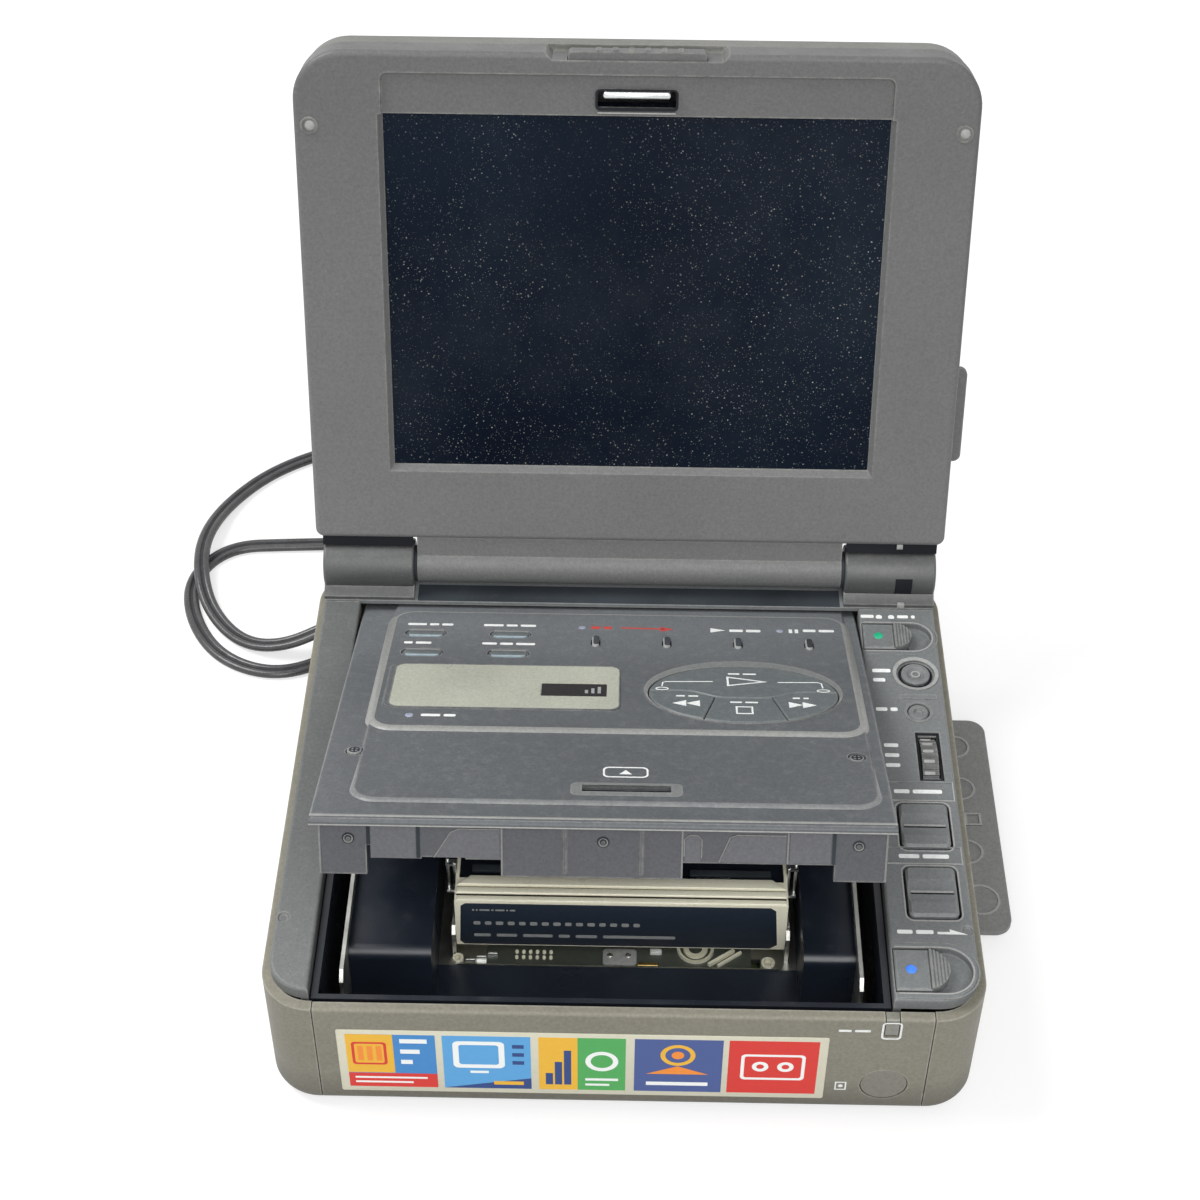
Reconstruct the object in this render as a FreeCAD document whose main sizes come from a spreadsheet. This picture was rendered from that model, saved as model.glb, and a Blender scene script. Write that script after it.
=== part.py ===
import FreeCAD, Part
import math
import os
import re

# Portable cassette player with a folding screen. Millimetres, +Z up, +Y to the rear.
# The origin is the middle of the resting face under the cabinet.
# In this file y counts from the front face; the frame offset moves it to the origin.

doc = FreeCAD.newDocument("Player")
sheet = doc.addObject("Spreadsheet::Sheet", "Sizes")

# Driving dimensions
SIZES = dict(
    # cabinet
    wide=148.0, deep=130.0, rim_top=33.0, deck_top=36.0, wall=2.4, floor_thick=1.8, lift=0.8,
    corner=10.5, foot_round=3.5, rim_step=1.7, seam=63.0, panel_thick=2.2, gap=0.3,
    rear_lip=116.8, strip_front=3.0, slit=0.2,
    # opening for the cassette door
    holder_half=35.6, holder_x=-0.7, well_more=4.2, well_less=2.9,
    side_left=10.5, side_right=19.7, open_left="side_left - wide / 2",
    open_right="wide / 2 - side_right", open_front=3.0, liner_wall=1.6, liner_top=33.0,
    block_top=26.0, block_front=20.0, slot_wide=4.0, liner_floor=9.4, deck_edge=30.0,
    liner_rear=100.0, well_left="holder_x - holder_half - well_more",
    well_right="holder_x + holder_half + well_less",
    # door
    door_pivot_y=107.0, door_pivot_z=6.0, door_tilt=19.5, door_front=6.4, door_rear=114.0,
    door_top=35.8, door_thick=1.4, step_tall=0.5, door_gap=0.4,
    mid_in_left=7.9, mid_in_right=3.1, mid_left="open_left + mid_in_left",
    mid_right="open_right - mid_in_right", mid_front=14.0, high_front=44.5, step_round=5.0,
    skirt_front=8.4, skirt_thick=1.6, skirt_low=21.0, skirt_mid=24.8,
    arm_thick=1.2, arm_tall=9.0, pin_r=1.5, run_fit=0.05,
    door_mid="(open_left + open_right) / 2 + slit / 2", screw_in=6.3,
    screw_out="(open_right - open_left) / 2 - screw_in", screw_y=35.0, screw_r=1.7,
    # keys on the door
    pill_long=9.2, pill_short=3.9, pill_in=16.5, pill_pitch=19.7,
    pill_left="open_left + pill_in",
    pill_right="pill_left + pill_pitch",
    pill_rear=92.2, pill_front=81.8, nub=2.6, nub_rise=1.1, nub_in=61.8, nub_left="open_right - nub_in",
    nub_pitch=16.4, nub_y=88.5,
    key_gap=0.25, key_deep=3.4,
    pad_in=28.8, pad_x="open_right - pad_in", pad_y=63.7, pad_long=44.0, pad_short=31.0, pad_rise=0.4,
    keys_y=62.15, keys_long=41.6, keys_short=27.3, split_in=4.0, split_out=13.0, split_low=-2.0,
    split_rise=3.2,
    stop_top=12.6, stop_low=18.8,
    plate_in=10.3, plate_wide=51.4, plate_left="open_left + plate_in",
    plate_right="plate_left + plate_wide", plate_front=53.6, plate_rear=75.0, plate_thick=0.6,
    groove_half=9.1, groove_front=18.2, groove_rear=21.0, groove_deep=1.2,
    # hinge and lid
    axis_y=124.6, axis_z=41.2, lid_tilt=16.0, lid_long=115.0, lid_up=8.2, face_out=3.7,
    lid_thick=18.2, bezel_thick=8.0, lid_round=11.0, lid_wall=2.0, lid_foot_round=2.0,
    win_in=19.2, win_top=13.6, step_top=4.6, win_half="wide / 2 - win_in", win_low=18.8,
    win_high="lid_long - win_top", step_high="lid_long - step_top", step_deep=0.9, glass_in=1.5,
    lcd_thick=5.0, lcd_over=1.6, barrel_r=4.4, hinge_in=23.8, hinge_gap=0.8, block_edge=1.6,
    barrel_half="wide / 2 - hinge_in", block_r=6.0, block_in="barrel_half + hinge_gap",
    block_out="wide / 2 - block_edge",
    hinge_pin_r=1.8, hinge_pin_long=14.0,
    latch_half=8.5, latch_top=7.9, latch_tall=3.8, latch_high="lid_long - latch_top",
    latch_low="latch_high - latch_tall", release_half=14.8, release_thick=4.4, release_deep=3.0,
    scoop_half=21.0, scoop_deep=1.5, hook_half=7.0,
    # control strip
    power_in=0.6, power_out=3.0, power_x="open_right + power_in", power_end="wide / 2 - power_out",
    power_low=102.7, power_high=111.7, recess_deep=1.6,
    slide_long=11.2, slide_travel=3.5, slide_clear=0.5, slide_rise=0.5, stem=5.0,
    round_in=7.7, round_x="wide / 2 - round_in", round_y=95.1, round_r=3.3, round_ring=4.4, round_deep=0.6,
    small_in=8.0, small_x="wide / 2 - small_in", small_y=83.0, small_r=2.3,
    wheel_in=6.7, wheel_x="wide / 2 - wheel_in", wheel_y=69.4, wheel_z=26.9, wheel_r=10.0, wheel_wide=3.6,
    wheel_axle=1.0,
    wheel_slot=12.8, rocker_in=9.6, rocker_x="wide / 2 - rocker_in", rocker_wide=10.4, bright_y=48.8,
    bright_long=12.2,
    sound_y=30.5, sound_long=13.2, rocker_rise=0.9, rocker_gap=0.55, rocker_deep=4.0, rocker_pin_r=0.9,
    eject_low=4.8, eject_high=16.0,
    # sides
    jack_z=11.3, jack_low=5.0, jack_tall=13.0, flap_front=44.5, flap_rear=109.5, flap_thick=1.2,
    flap_round=4.0, jack_depth=8.0, jack_small_r=1.8, jack_big_r=3.9, mark_small_r=3.6,
    mark_big_r=4.4,
    jack_one=100.5, jack_two=87.0, jack_three=77.5, jack_four=67.6, jack_five=53.5, jack_square=3.8,
    # tape deck
    deck_z=6.6, deck_plate=1.2, deck_front=30.0, deck_rear=109.0, deck_in=4.7,
    deck_left="open_left + deck_in",
    deck_right="open_right - deck_in", rail_top=29.0, rail_front=6.5,
    rail_thick=0.8, drum_x=16.0, drum_y=97.5, drum_r=10.9, drum_tall=13.0, drum_low=4.5,
    reel_pitch=29.0, reel_x=-0.7, reel_y=58.0, reel_r=4.6, reel_tall=3.6, reel_hub_r=1.6, reel_hub_tall=6.3,
    capstan_x=-14.0, capstan_y=90.5, capstan_r=1.0, capstan_tall=14.0, flywheel_r=9.0, flywheel_tall=1.6,
    roller_r=3.2, roller_tall=7.0, roller_gap=0.3, guide_r=1.2, guide_tall=9.0,
    holder_front=32.4, holder_long=52.0, holder_low=13.6, holder_high=28.4,
    holder_sheet=0.7, holder_lip=6.5,
    board_z=2.9, board_thick=1.2, board_front=34.0, board_rear=104.0, board_in=28.2,
    board_half="wide / 2 - board_in",
    # front face
    lamp_in=1.5, lamp_left="open_right - lamp_in", lamp_wide=3.1, lamp_low=27.4, lamp_deep=3.0,
    eye_in=19.7, eye_x="wide / 2 - eye_in", eye_z=10.8, eye_r=5.0, eye_deep=1.2,
    # feet and screws
    foot_in_x=14.0, foot_in_y=16.0, foot_r=5.0, foot_thick=1.4, rest_half_x=24.0, rest_half_y=14.0,
    case_screw_r=2.2, case_screw_in=30.0,
    # port cover on the lid
    port_low=16.0, port_long=24.0, port_thick=1.2, port_wide=4.8, port_y=10.0,
    # power lead
    inlet_x=-30.0, inlet_z=11.0, inlet_half=5.5, plug_r=4.4, plug_long=13.0, relief_long=20.0,
    lead=4.0, coil_x=4.0, coil_y=197.0, coil_out=29.4, coil_in=14.8, coil_tall=8.6,
)
for row, (name, value) in enumerate(SIZES.items(), start=1):
    sheet.set("A%d" % row, name)
    sheet.set("B%d" % row, "=" + value if isinstance(value, str) else str(value))
    sheet.setAlias("B%d" % row, name)
doc.recompute()

WORD = re.compile(r"[a-z_][a-z_0-9]*")
FRAMES = {
    "base": ("0", "-deep / 2", "0"),
    "door": ("0", "-door_pivot_y", "-door_pivot_z"),
    "lid": ("0", "0", "0"),
}
state = {"frame": "base", "count": 0}
pieces = []


def n(name):
    # One driving dimension as a number
    return float(sheet.get(name))


def bind(obj, path, text):
    # Ties a property to the sheet; words that are aliases get the sheet's name
    full = WORD.sub(lambda found: "Sizes." + found.group(0) if found.group(0) in SIZES else found.group(0),
                    text)
    obj.setExpression(path, full)


def new(kind):
    state["count"] += 1
    return doc.addObject(kind, "Shape%03d" % state["count"])


def put(obj, x, y, z):
    off = FRAMES[state["frame"]]
    for letter, text, shift in zip("xyz", (x, y, z), off):
        bind(obj, "Placement.Base." + letter, "(%s) + (%s)" % (text, shift))
    return obj


def box(x0, x1, y0, y1, z0, z1):
    obj = new("Part::Box")
    bind(obj, "Length", "(%s) - (%s)" % (x1, x0))
    bind(obj, "Width", "(%s) - (%s)" % (y1, y0))
    bind(obj, "Height", "(%s) - (%s)" % (z1, z0))
    return put(obj, x0, y0, z0)


TURN = {"x": ((0, 1, 0), 90), "y": ((1, 0, 0), -90), "z": ((0, 0, 1), 0)}


def rod(axis, x, y, z, r, long):
    # A cylinder that starts at the point and runs along +axis
    obj = new("Part::Cylinder")
    turn, angle = TURN[axis]
    obj.Placement = FreeCAD.Placement(FreeCAD.Vector(), FreeCAD.Rotation(FreeCAD.Vector(*turn), angle))
    bind(obj, "Radius", r)
    bind(obj, "Height", long)
    return put(obj, x, y, z)


def taper(axis, x, y, z, r1, r2, long):
    obj = new("Part::Cone")
    turn, angle = TURN[axis]
    obj.Placement = FreeCAD.Placement(FreeCAD.Vector(), FreeCAD.Rotation(FreeCAD.Vector(*turn), angle))
    bind(obj, "Radius1", r1)
    bind(obj, "Radius2", r2)
    bind(obj, "Height", long)
    return put(obj, x, y, z)


def fuse(*parts):
    if len(parts) == 1:
        return parts[0]
    obj = new("Part::MultiFuse")
    obj.Shapes = list(parts)
    obj.Refine = True
    return obj


def group(*parts):
    # Separate solids in one piece
    obj = new("Part::Compound")
    obj.Links = list(parts)
    return obj


def cut(base, *tools):
    obj = new("Part::Cut")
    obj.Base = base
    obj.Tool = fuse(*tools)
    obj.Refine = True
    return obj


def common(base, tool):
    obj = new("Part::Common")
    obj.Base = base
    obj.Tool = tool
    return obj


def straight(edge, axis):
    if not isinstance(edge.Curve, Part.Line):
        return False
    return abs(getattr(edge.Curve.Direction, axis)) > 0.999


def level(edge, box_side, value):
    letter = box_side[0].lower()
    return all(abs(getattr(v.Point, letter) - value) < 0.01 for v in edge.Vertexes)


def soften(kind, obj, size, test):
    # Rounds or bevels the edges that the test picks
    doc.recompute()
    shape = obj.Shape
    picked = [i for i, edge in enumerate(shape.Edges, start=1) if test(edge, shape.BoundBox)]
    if not picked:
        raise RuntimeError("no edge to soften on " + obj.Name)
    out = new(kind)
    out.Base = obj
    out.Edges = [(i, size, size) for i in picked]
    doc.recompute()
    if out.Shape.isNull() or not out.Shape.isValid():
        raise RuntimeError("could not soften " + obj.Name)
    return out


def fillet(obj, size, test):
    return soften("Part::Fillet", obj, size, test)


def chamfer(obj, size, test):
    return soften("Part::Chamfer", obj, size, test)


def upright(edge, bounds):
    return straight(edge, "z")


def top_edges(edge, bounds):
    return level(edge, "Z", bounds.ZMax)


def low_edges(edge, bounds):
    return level(edge, "Z", bounds.ZMin)


def front_face_edges(edge, bounds):
    return level(edge, "Y", bounds.YMin)


def rear_face_edges(edge, bounds):
    return level(edge, "Y", bounds.YMax)


def pill(x0, x1, y0, y1, z0, z1):
    # An upright slab with half-round ends in x
    half = "((%s) - (%s)) / 2" % (y1, y0)
    mid_y = "((%s) + (%s)) / 2" % (y1, y0)
    tall = "(%s) - (%s)" % (z1, z0)
    return fuse(
        box("(%s) + %s" % (x0, half), "(%s) - %s" % (x1, half), y0, y1, z0, z1),
        rod("z", "(%s) + %s" % (x0, half), mid_y, z0, half, tall),
        rod("z", "(%s) - %s" % (x1, half), mid_y, z0, half, tall),
    )


def made(shape):
    obj = new("Part::Feature")
    obj.Shape = shape
    return obj


def piece(obj, name, frame=None):
    # Names the sub-part and sets it in its place in the whole
    frame = frame or state["frame"]
    obj.Label = name
    doc.recompute()
    if frame == "door":
        obj.Placement.Rotation = FreeCAD.Rotation(FreeCAD.Vector(1, 0, 0), -n("door_tilt"))
        bind(obj, "Placement.Base.y", "door_pivot_y - deep / 2")
        bind(obj, "Placement.Base.z", "door_pivot_z")
    if frame == "lid":
        obj.Placement.Rotation = FreeCAD.Rotation(FreeCAD.Vector(1, 0, 0), -n("lid_tilt"))
        bind(obj, "Placement.Base.y", "axis_y - deep / 2")
        bind(obj, "Placement.Base.z", "axis_z")
    pieces.append(obj)
    return obj


# Cabinet


def outer_block():
    # The rounded outside of the cabinet as one block
    block = box("-wide / 2", "wide / 2", "0", "deep", "lift", "rim_top")
    block = fillet(block, n("corner"), upright)
    return fillet(block, n("foot_round"), low_edges)


def bottom_cabinet():
    room = box("-wide / 2 + wall", "wide / 2 - wall", "wall", "deep - wall", "lift + floor_thick",
               "rim_top + 1")
    room = fillet(room, n("corner") - n("wall"), upright)
    front_gap = box("-seam", "seam", "-1", "panel_thick + slit", "0", "rim_top + 1")
    jack_hole = box("wide / 2 - wall - 1", "wide / 2 + 1", "flap_front - gap", "flap_rear + gap",
                    "jack_low - flap_thick / 2 - slit", "jack_low + jack_tall + gap + flap_thick / 2")
    flap_bore = rod("y", "wide / 2 - flap_thick / 2", "flap_front - 2", "jack_low",
                    "flap_thick / 2 + run_fit", "flap_rear - flap_front + 4")
    inlet_hole = box("inlet_x - inlet_half - slit", "inlet_x + inlet_half + slit", "deep - wall - 1",
                     "deep + 1",
                     "inlet_z - inlet_half - slit", "inlet_z + inlet_half + slit")
    tools = [room, front_gap, jack_hole, flap_bore, inlet_hole]
    for x, y in foot_places():
        tools.append(rod("z", x, y, "0", "foot_r + slit / 2", "foot_thick"))
    for x, y in screw_places():
        tools.append(rod("z", x, y, "0", "case_screw_r + slit / 2", "lift + floor_thick / 2"))
        tools.append(rod("z", x, y, "0", "case_screw_r / 2", "lift + floor_thick + 1"))
    shell = cut(outer_block(), *tools)
    rest = box("-rest_half_x", "rest_half_x", "deep / 2 - rest_half_y", "deep / 2 + rest_half_y", "0",
               "lift")
    parts = [shell, rest]
    for x in ("deck_left + 2.6", "deck_right - 1.9"):
        for y in ("deck_front + 8", "deck_rear - 12"):
            parts.append(rod("z", x, y, "lift + floor_thick", "0.9", "deck_z - lift - floor_thick"))
    for x in ("-board_half + 8", "board_half - 8"):
        for y in ("board_front + 5", "board_rear - 5"):
            parts.append(rod("z", x, y, "lift + floor_thick", "2", "board_z - lift - floor_thick"))
    piece(fuse(*parts), "bottom_cabinet")


def foot_places():
    return [(x, y) for x in ("-wide / 2 + foot_in_x", "wide / 2 - foot_in_x")
            for y in ("foot_in_y", "deep - foot_in_y")]


def screw_places():
    return [(x, y) for x in ("-wide / 2 + case_screw_in", "wide / 2 - case_screw_in")
            for y in ("case_screw_in", "deep - case_screw_in")]


def feet():
    discs = [rod("z", x, y, "0", "foot_r", "foot_thick") for x, y in foot_places()]
    piece(group(*discs), "feet")


def cabinet_screws():
    screws = []
    for x, y in screw_places():
        head = rod("z", x, y, "lift + slit", "case_screw_r", "floor_thick / 2 - slit")
        shank = rod("z", x, y, "lift + slit", "case_screw_r / 2 - run_fit", "floor_thick")
        slot_a = box("(%s) - 1.2" % x, "(%s) + 1.2" % x, "(%s) - 0.25" % y, "(%s) + 0.25" % y,
                     "lift", "lift + slit + 0.4")
        slot_b = box("(%s) - 0.25" % x, "(%s) + 0.25" % x, "(%s) - 1.2" % y, "(%s) + 1.2" % y,
                     "lift", "lift + slit + 0.4")
        screws.append(cut(fuse(head, shank), slot_a, slot_b))
    piece(group(*screws), "cabinet_screws")


def front_panel():
    slab = box("-seam + slit", "seam - slit", "-1", "panel_thick", "0", "rim_top + 1")
    panel = common(outer_block(), slab)
    panel = fillet(panel, 0.8, lambda edge, b: straight(edge, "x") and level(edge, "Z", b.ZMax)
                   and level(edge, "Y", b.YMin))
    lamp_slot = box("lamp_left", "lamp_left + lamp_wide", "-1", "lamp_deep + 1", "lamp_low", "rim_top + 1")
    eye_hole = rod("y", "eye_x", "-1", "eye_z", "eye_r", "eye_deep + 1")
    piece(cut(panel, lamp_slot, eye_hole), "front_panel")


def power_lamp():
    body = box("lamp_left + slit", "lamp_left + lamp_wide - slit", "slit / 2", "panel_thick",
               "lamp_low + slit", "rim_top - slit / 2")
    piece(fillet(body, 0.5, lambda edge, b: straight(edge, "x") and level(edge, "Y", b.YMin)), "power_lamp")


def remote_window():
    disc = rod("y", "eye_x", "slit / 2", "eye_z", "eye_r - slit / 2", "eye_deep - slit")
    piece(chamfer(disc, 0.2, front_face_edges), "remote_window")


def strip(x0, x1, outer_test):
    # A raised strip beside the door, rounded at its outer front corner
    slab = box(x0, x1, "strip_front", "rear_lip - gap", "rim_top", "deck_top")
    slab = fillet(slab, n("corner") - n("rim_step") - 0.6, outer_test)
    return fillet(slab, 0.7, lambda edge, b: level(edge, "Z", b.ZMax) and not level(edge, "Y", b.YMax))


def left_top_cover():
    slab = strip("-wide / 2 + rim_step", "open_left - slit",
                 lambda edge, b: upright(edge, b) and level(edge, "X", b.XMin) and level(edge, "Y", b.YMin))
    flange = box("open_left - slit - liner_wall", "open_left - slit", "strip_front + gap", "rear_lip - 2",
                 "rim_top - 9", "rim_top + 1")
    dimple = taper("z", "open_left - 7.2", "strip_front + 18.4", "deck_top - 0.5", "0.9", "1.4", "0.6")
    piece(cut(fuse(slab, flange), dimple), "left_top_cover")


def slide_pocket(low, high):
    half = "((%s) - (%s)) / 2" % (high, low)
    return fuse(
        box("power_x", "power_end - " + half, low, high, "deck_top - recess_deep", "deck_top + 1"),
        rod("z", "power_end - " + half, "(%s) + %s" % (low, half), "deck_top - recess_deep", half,
            "recess_deep + 1"),
    )


def stem_slot(low, high):
    mid = "((%s) + (%s)) / 2" % (low, high)
    return box("power_x + 2 - gap", "power_x + 2 + stem + slide_travel + gap", mid + " - stem / 2 - gap",
               mid + " + stem / 2 + gap", "rim_top - 1", "deck_top")


def rocker_box(y, long, grow, z0, z1):
    half = "rocker_wide / 2 + (%s)" % grow
    return box("rocker_x - (%s)" % half, "rocker_x + (%s)" % half,
               "(%s) - (%s) / 2 - (%s)" % (y, long, grow), "(%s) + (%s) / 2 + (%s)" % (y, long, grow), z0,
               z1)


def control_panel():
    slab = strip("open_right + slit", "wide / 2 - rim_step",
                 lambda edge, b: upright(edge, b) and level(edge, "X", b.XMax) and level(edge, "Y", b.YMin))
    flange = box("open_right + slit", "open_right + slit + liner_wall", "strip_front + gap", "rear_lip - 2",
                 "rim_top - 9", "rim_top + 1")
    holes = [
        slide_pocket("power_low", "power_high"),
        stem_slot("power_low", "power_high"),
        slide_pocket("eject_low", "eject_high"),
        stem_slot("eject_low", "eject_high"),
        rod("z", "round_x", "round_y", "deck_top - round_deep", "round_ring", "round_deep + 1"),
        rod("z", "round_x", "round_y", "rim_top - 1", "round_r + key_gap", "deck_top"),
        rod("z", "small_x", "small_y", "rim_top - 1", "small_r + key_gap", "deck_top"),
        box("wheel_x - wheel_wide / 2 - gap", "wheel_x + wheel_wide / 2 + gap",
            "wheel_y - wheel_slot / 2", "wheel_y + wheel_slot / 2", "rim_top - 1", "deck_top + 1"),
        box("wheel_x - wheel_wide / 2 - gap", "wheel_x + wheel_wide / 2 + gap",
            "wheel_y - wheel_r + 1.2", "wheel_y + wheel_r - 1.2", "rim_top - 1", "deck_top - 0.9"),
        box("wheel_x - wheel_wide / 2 - 0.9", "wheel_x + wheel_wide / 2 + 0.9",
            "wheel_y - wheel_slot / 2 - 0.9", "wheel_y + wheel_slot / 2 + 0.9", "deck_top - 0.4",
            "deck_top + 1"),
        fillet(rocker_box("bright_y", "bright_long", "rocker_gap", "rim_top - 1", "deck_top + 1"), 1.6,
               upright),
        fillet(rocker_box("sound_y", "sound_long", "rocker_gap", "rim_top - 1", "deck_top + 1"), 1.6,
               upright),
        taper("z", "wide / 2 - 3", "strip_front + 17.8", "deck_top - 0.5", "0.9", "1.4", "0.6"),
    ]
    panel = cut(fuse(slab, flange), *holes)
    bar = box("round_x - 4.2", "round_x + 4.2", "round_y - 8.2", "round_y - 6.8", "deck_top - 0.5",
              "deck_top + 0.3")
    ears = []
    for y, long in (("bright_y", "bright_long"), ("sound_y", "sound_long")):
        for side in ("-1", "1"):
            x = "rocker_x + (%s) * (rocker_wide / 2 + gap + 0.6)" % side
            ear = box("(%s) - 0.6" % x, "(%s) + 0.6" % x, "(%s) - 2" % y, "(%s) + 2" % y,
                      "deck_top - rocker_deep - 1", "rim_top + 0.5")
            ears.append(ear)
    for x in ("wheel_x - wheel_wide / 2 - gap - 1.2", "wheel_x + wheel_wide / 2 + gap"):
        ears.append(box(x, "(%s) + 1.2" % x, "wheel_y - 2", "wheel_y + 2", "wheel_z - 2", "rim_top + 0.5"))
    panel = fuse(panel, bar, *ears)
    bores = [
        rod("x", "rocker_x - rocker_wide / 2 - 2", "bright_y", "deck_top - rocker_deep + 0.5",
            "rocker_pin_r + run_fit", "rocker_wide + 4"),
        rod("x", "rocker_x - rocker_wide / 2 - 2", "sound_y", "deck_top - rocker_deep + 0.5",
            "rocker_pin_r + run_fit", "rocker_wide + 4"),
        rod("x", "wheel_x - wheel_wide / 2 - 3", "wheel_y", "wheel_z", "wheel_axle + run_fit",
            "wheel_wide + 6"),
    ]
    piece(cut(panel, *bores), "control_panel")


def slider(name, low, high):
    # A flat cap with a ribbed grip and a stem that runs in the slot
    y0 = "(%s) + slide_clear" % low
    y1 = "(%s) - slide_clear" % high
    x0 = "power_x + slit"
    grip_x = "power_x + slit + slide_long - 4"
    z0 = "deck_top - recess_deep + run_fit"
    cap = box(x0, grip_x, y0, y1, z0, "deck_top + slide_rise - 0.2")
    cap = chamfer(cap, 0.3, top_edges)
    grip = pill(grip_x + " - 9", "power_x + slit + slide_long", y0, y1, z0, "deck_top + slide_rise + 0.3")
    grip = cut(grip, box("power_x - 19", grip_x, "(%s) - 9" % y0, "(%s) + 9" % y1, "0", "deck_top + 9"))
    ribs = [box("%s + %s" % (grip_x, 0.5 + 0.7 * i), "%s + %s" % (grip_x, 0.8 + 0.7 * i), "(%s) - 9" % y0,
                "(%s) + 9" % y1, "deck_top + slide_rise", "deck_top + 9") for i in range(5)]
    mid = "((%s) + (%s)) / 2" % (low, high)
    stem = box("power_x + 2", "power_x + 2 + stem", mid + " - stem / 2", mid + " + stem / 2", "rim_top - 2",
               "deck_top - recess_deep + 1")
    foot = box("power_x + 1.5", "power_x + 3 + stem", mid + " - stem / 2 - 1", mid + " + stem / 2 + 1",
               "rim_top - 2", "rim_top - run_fit * 2")
    piece(fuse(cap, cut(grip, *ribs), stem, foot), name)


def round_button(name, x, y, r, rise, dish):
    body = rod("z", x, y, "rim_top - 0.8", r, "deck_top - rim_top + 0.8 + (%s)" % rise)
    body = chamfer(body, 0.3, top_edges)
    foot = rod("z", x, y, "rim_top - 1.6", "(%s) + 0.9" % r, "0.9")
    hollow = taper("z", x, y, "deck_top + (%s) - 0.6" % rise, "0.6 * (%s)" % dish, dish, "0.7")
    piece(cut(fuse(body, foot), hollow), name)


def rocker(name, y, long):
    body = rocker_box(y, long, "0", "deck_top - rocker_deep", "deck_top + rocker_rise")
    body = fillet(body, 1.2, upright)
    body = chamfer(body, 0.5, top_edges)
    dip = rod("x", "rocker_x - rocker_wide", y, "deck_top + rocker_rise + 11.6", "12", "rocker_wide * 2")
    pin = rod("x", "rocker_x - rocker_wide / 2 - 1.3", y, "deck_top - rocker_deep + 0.5", "rocker_pin_r",
              "rocker_wide + 2.6")
    piece(fuse(cut(body, dip), pin), name)


def dial_wheel():
    wheel = rod("x", "wheel_x - wheel_wide / 2", "wheel_y", "wheel_z", "wheel_r", "wheel_wide")
    teeth = []
    count = 44
    for i in range(count):
        angle = 2 * math.pi * i / count
        y = "wheel_y + wheel_r * %.5f" % math.cos(angle)
        z = "wheel_z + wheel_r * %.5f" % math.sin(angle)
        teeth.append(rod("x", "wheel_x - wheel_wide", y, z, "0.32", "wheel_wide * 2"))
    axle = rod("x", "wheel_x - wheel_wide / 2 - 1.4", "wheel_y", "wheel_z", "wheel_axle",
               "wheel_wide + 2.8")
    piece(fuse(cut(wheel, *teeth), axle), "dial_wheel")


def rear_deck():
    rear = "deep - rim_step"
    slab = box("-wide / 2 + rim_step", "wide / 2 - rim_step", "rear_lip", rear, "rim_top", "deck_top")
    slab = fillet(slab, n("corner") - n("rim_step"), lambda edge,
                  b: upright(edge, b) and level(edge, "Y", b.YMax))
    slab = fillet(slab, 0.6, lambda edge, b: level(edge, "Z", b.ZMax) and not level(edge, "Y", b.YMin))
    under = box("-wide / 2 + rim_step + 1.6", "wide / 2 - rim_step - 1.6", "rear_lip - 1", rear + " - 1.6",
                "rim_top - 1", "deck_top - 1")
    under = fillet(under, n("corner") - n("rim_step") - 1.6,
                   lambda edge, b: upright(edge, b) and level(edge, "Y", b.YMax))
    piece(cut(slab, under), "rear_deck")


def hinge_cover(x0, x1, pin_x):
    base = box(x0, x1, "rear_lip + gap", "axis_y + block_r - 0.6", "deck_top", "axis_z")
    hollow = rod("x", "(%s) - 1" % x0, "rear_lip + gap - 2.4", "deck_top + 6.6", "6.2",
                 "(%s) - (%s) + 2" % (x1, x0))
    barrel = rod("x", x0, "axis_y", "axis_z", "block_r", "(%s) - (%s)" % (x1, x0))
    barrel = fillet(barrel, 0.6, lambda edge, b: level(edge, "X", b.XMin) or level(edge, "X", b.XMax))
    below = box("(%s) - 1" % x0, "(%s) + 1" % x1, "deep - 20", "deep + 20", "rim_top", "deck_top")
    bore = rod("x", pin_x, "axis_y", "axis_z", "hinge_pin_r + run_fit / 2", "hinge_pin_long")
    return cut(fuse(cut(base, hollow), barrel), bore, below)


def hinge_covers():
    left = hinge_cover("-block_out", "-block_in", "-barrel_half - hinge_pin_long / 2")
    right = hinge_cover("block_in", "block_out", "barrel_half - hinge_pin_long / 2")
    piece(group(left, right), "hinge_covers")


def hinge_pins():
    left = rod("x", "-barrel_half - hinge_pin_long / 2", "axis_y", "axis_z", "hinge_pin_r",
               "hinge_pin_long")
    right = rod("x", "barrel_half - hinge_pin_long / 2", "axis_y", "axis_z", "hinge_pin_r",
                "hinge_pin_long")
    piece(group(left, right), "hinge_pins")


# Inside of the cassette opening


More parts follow.
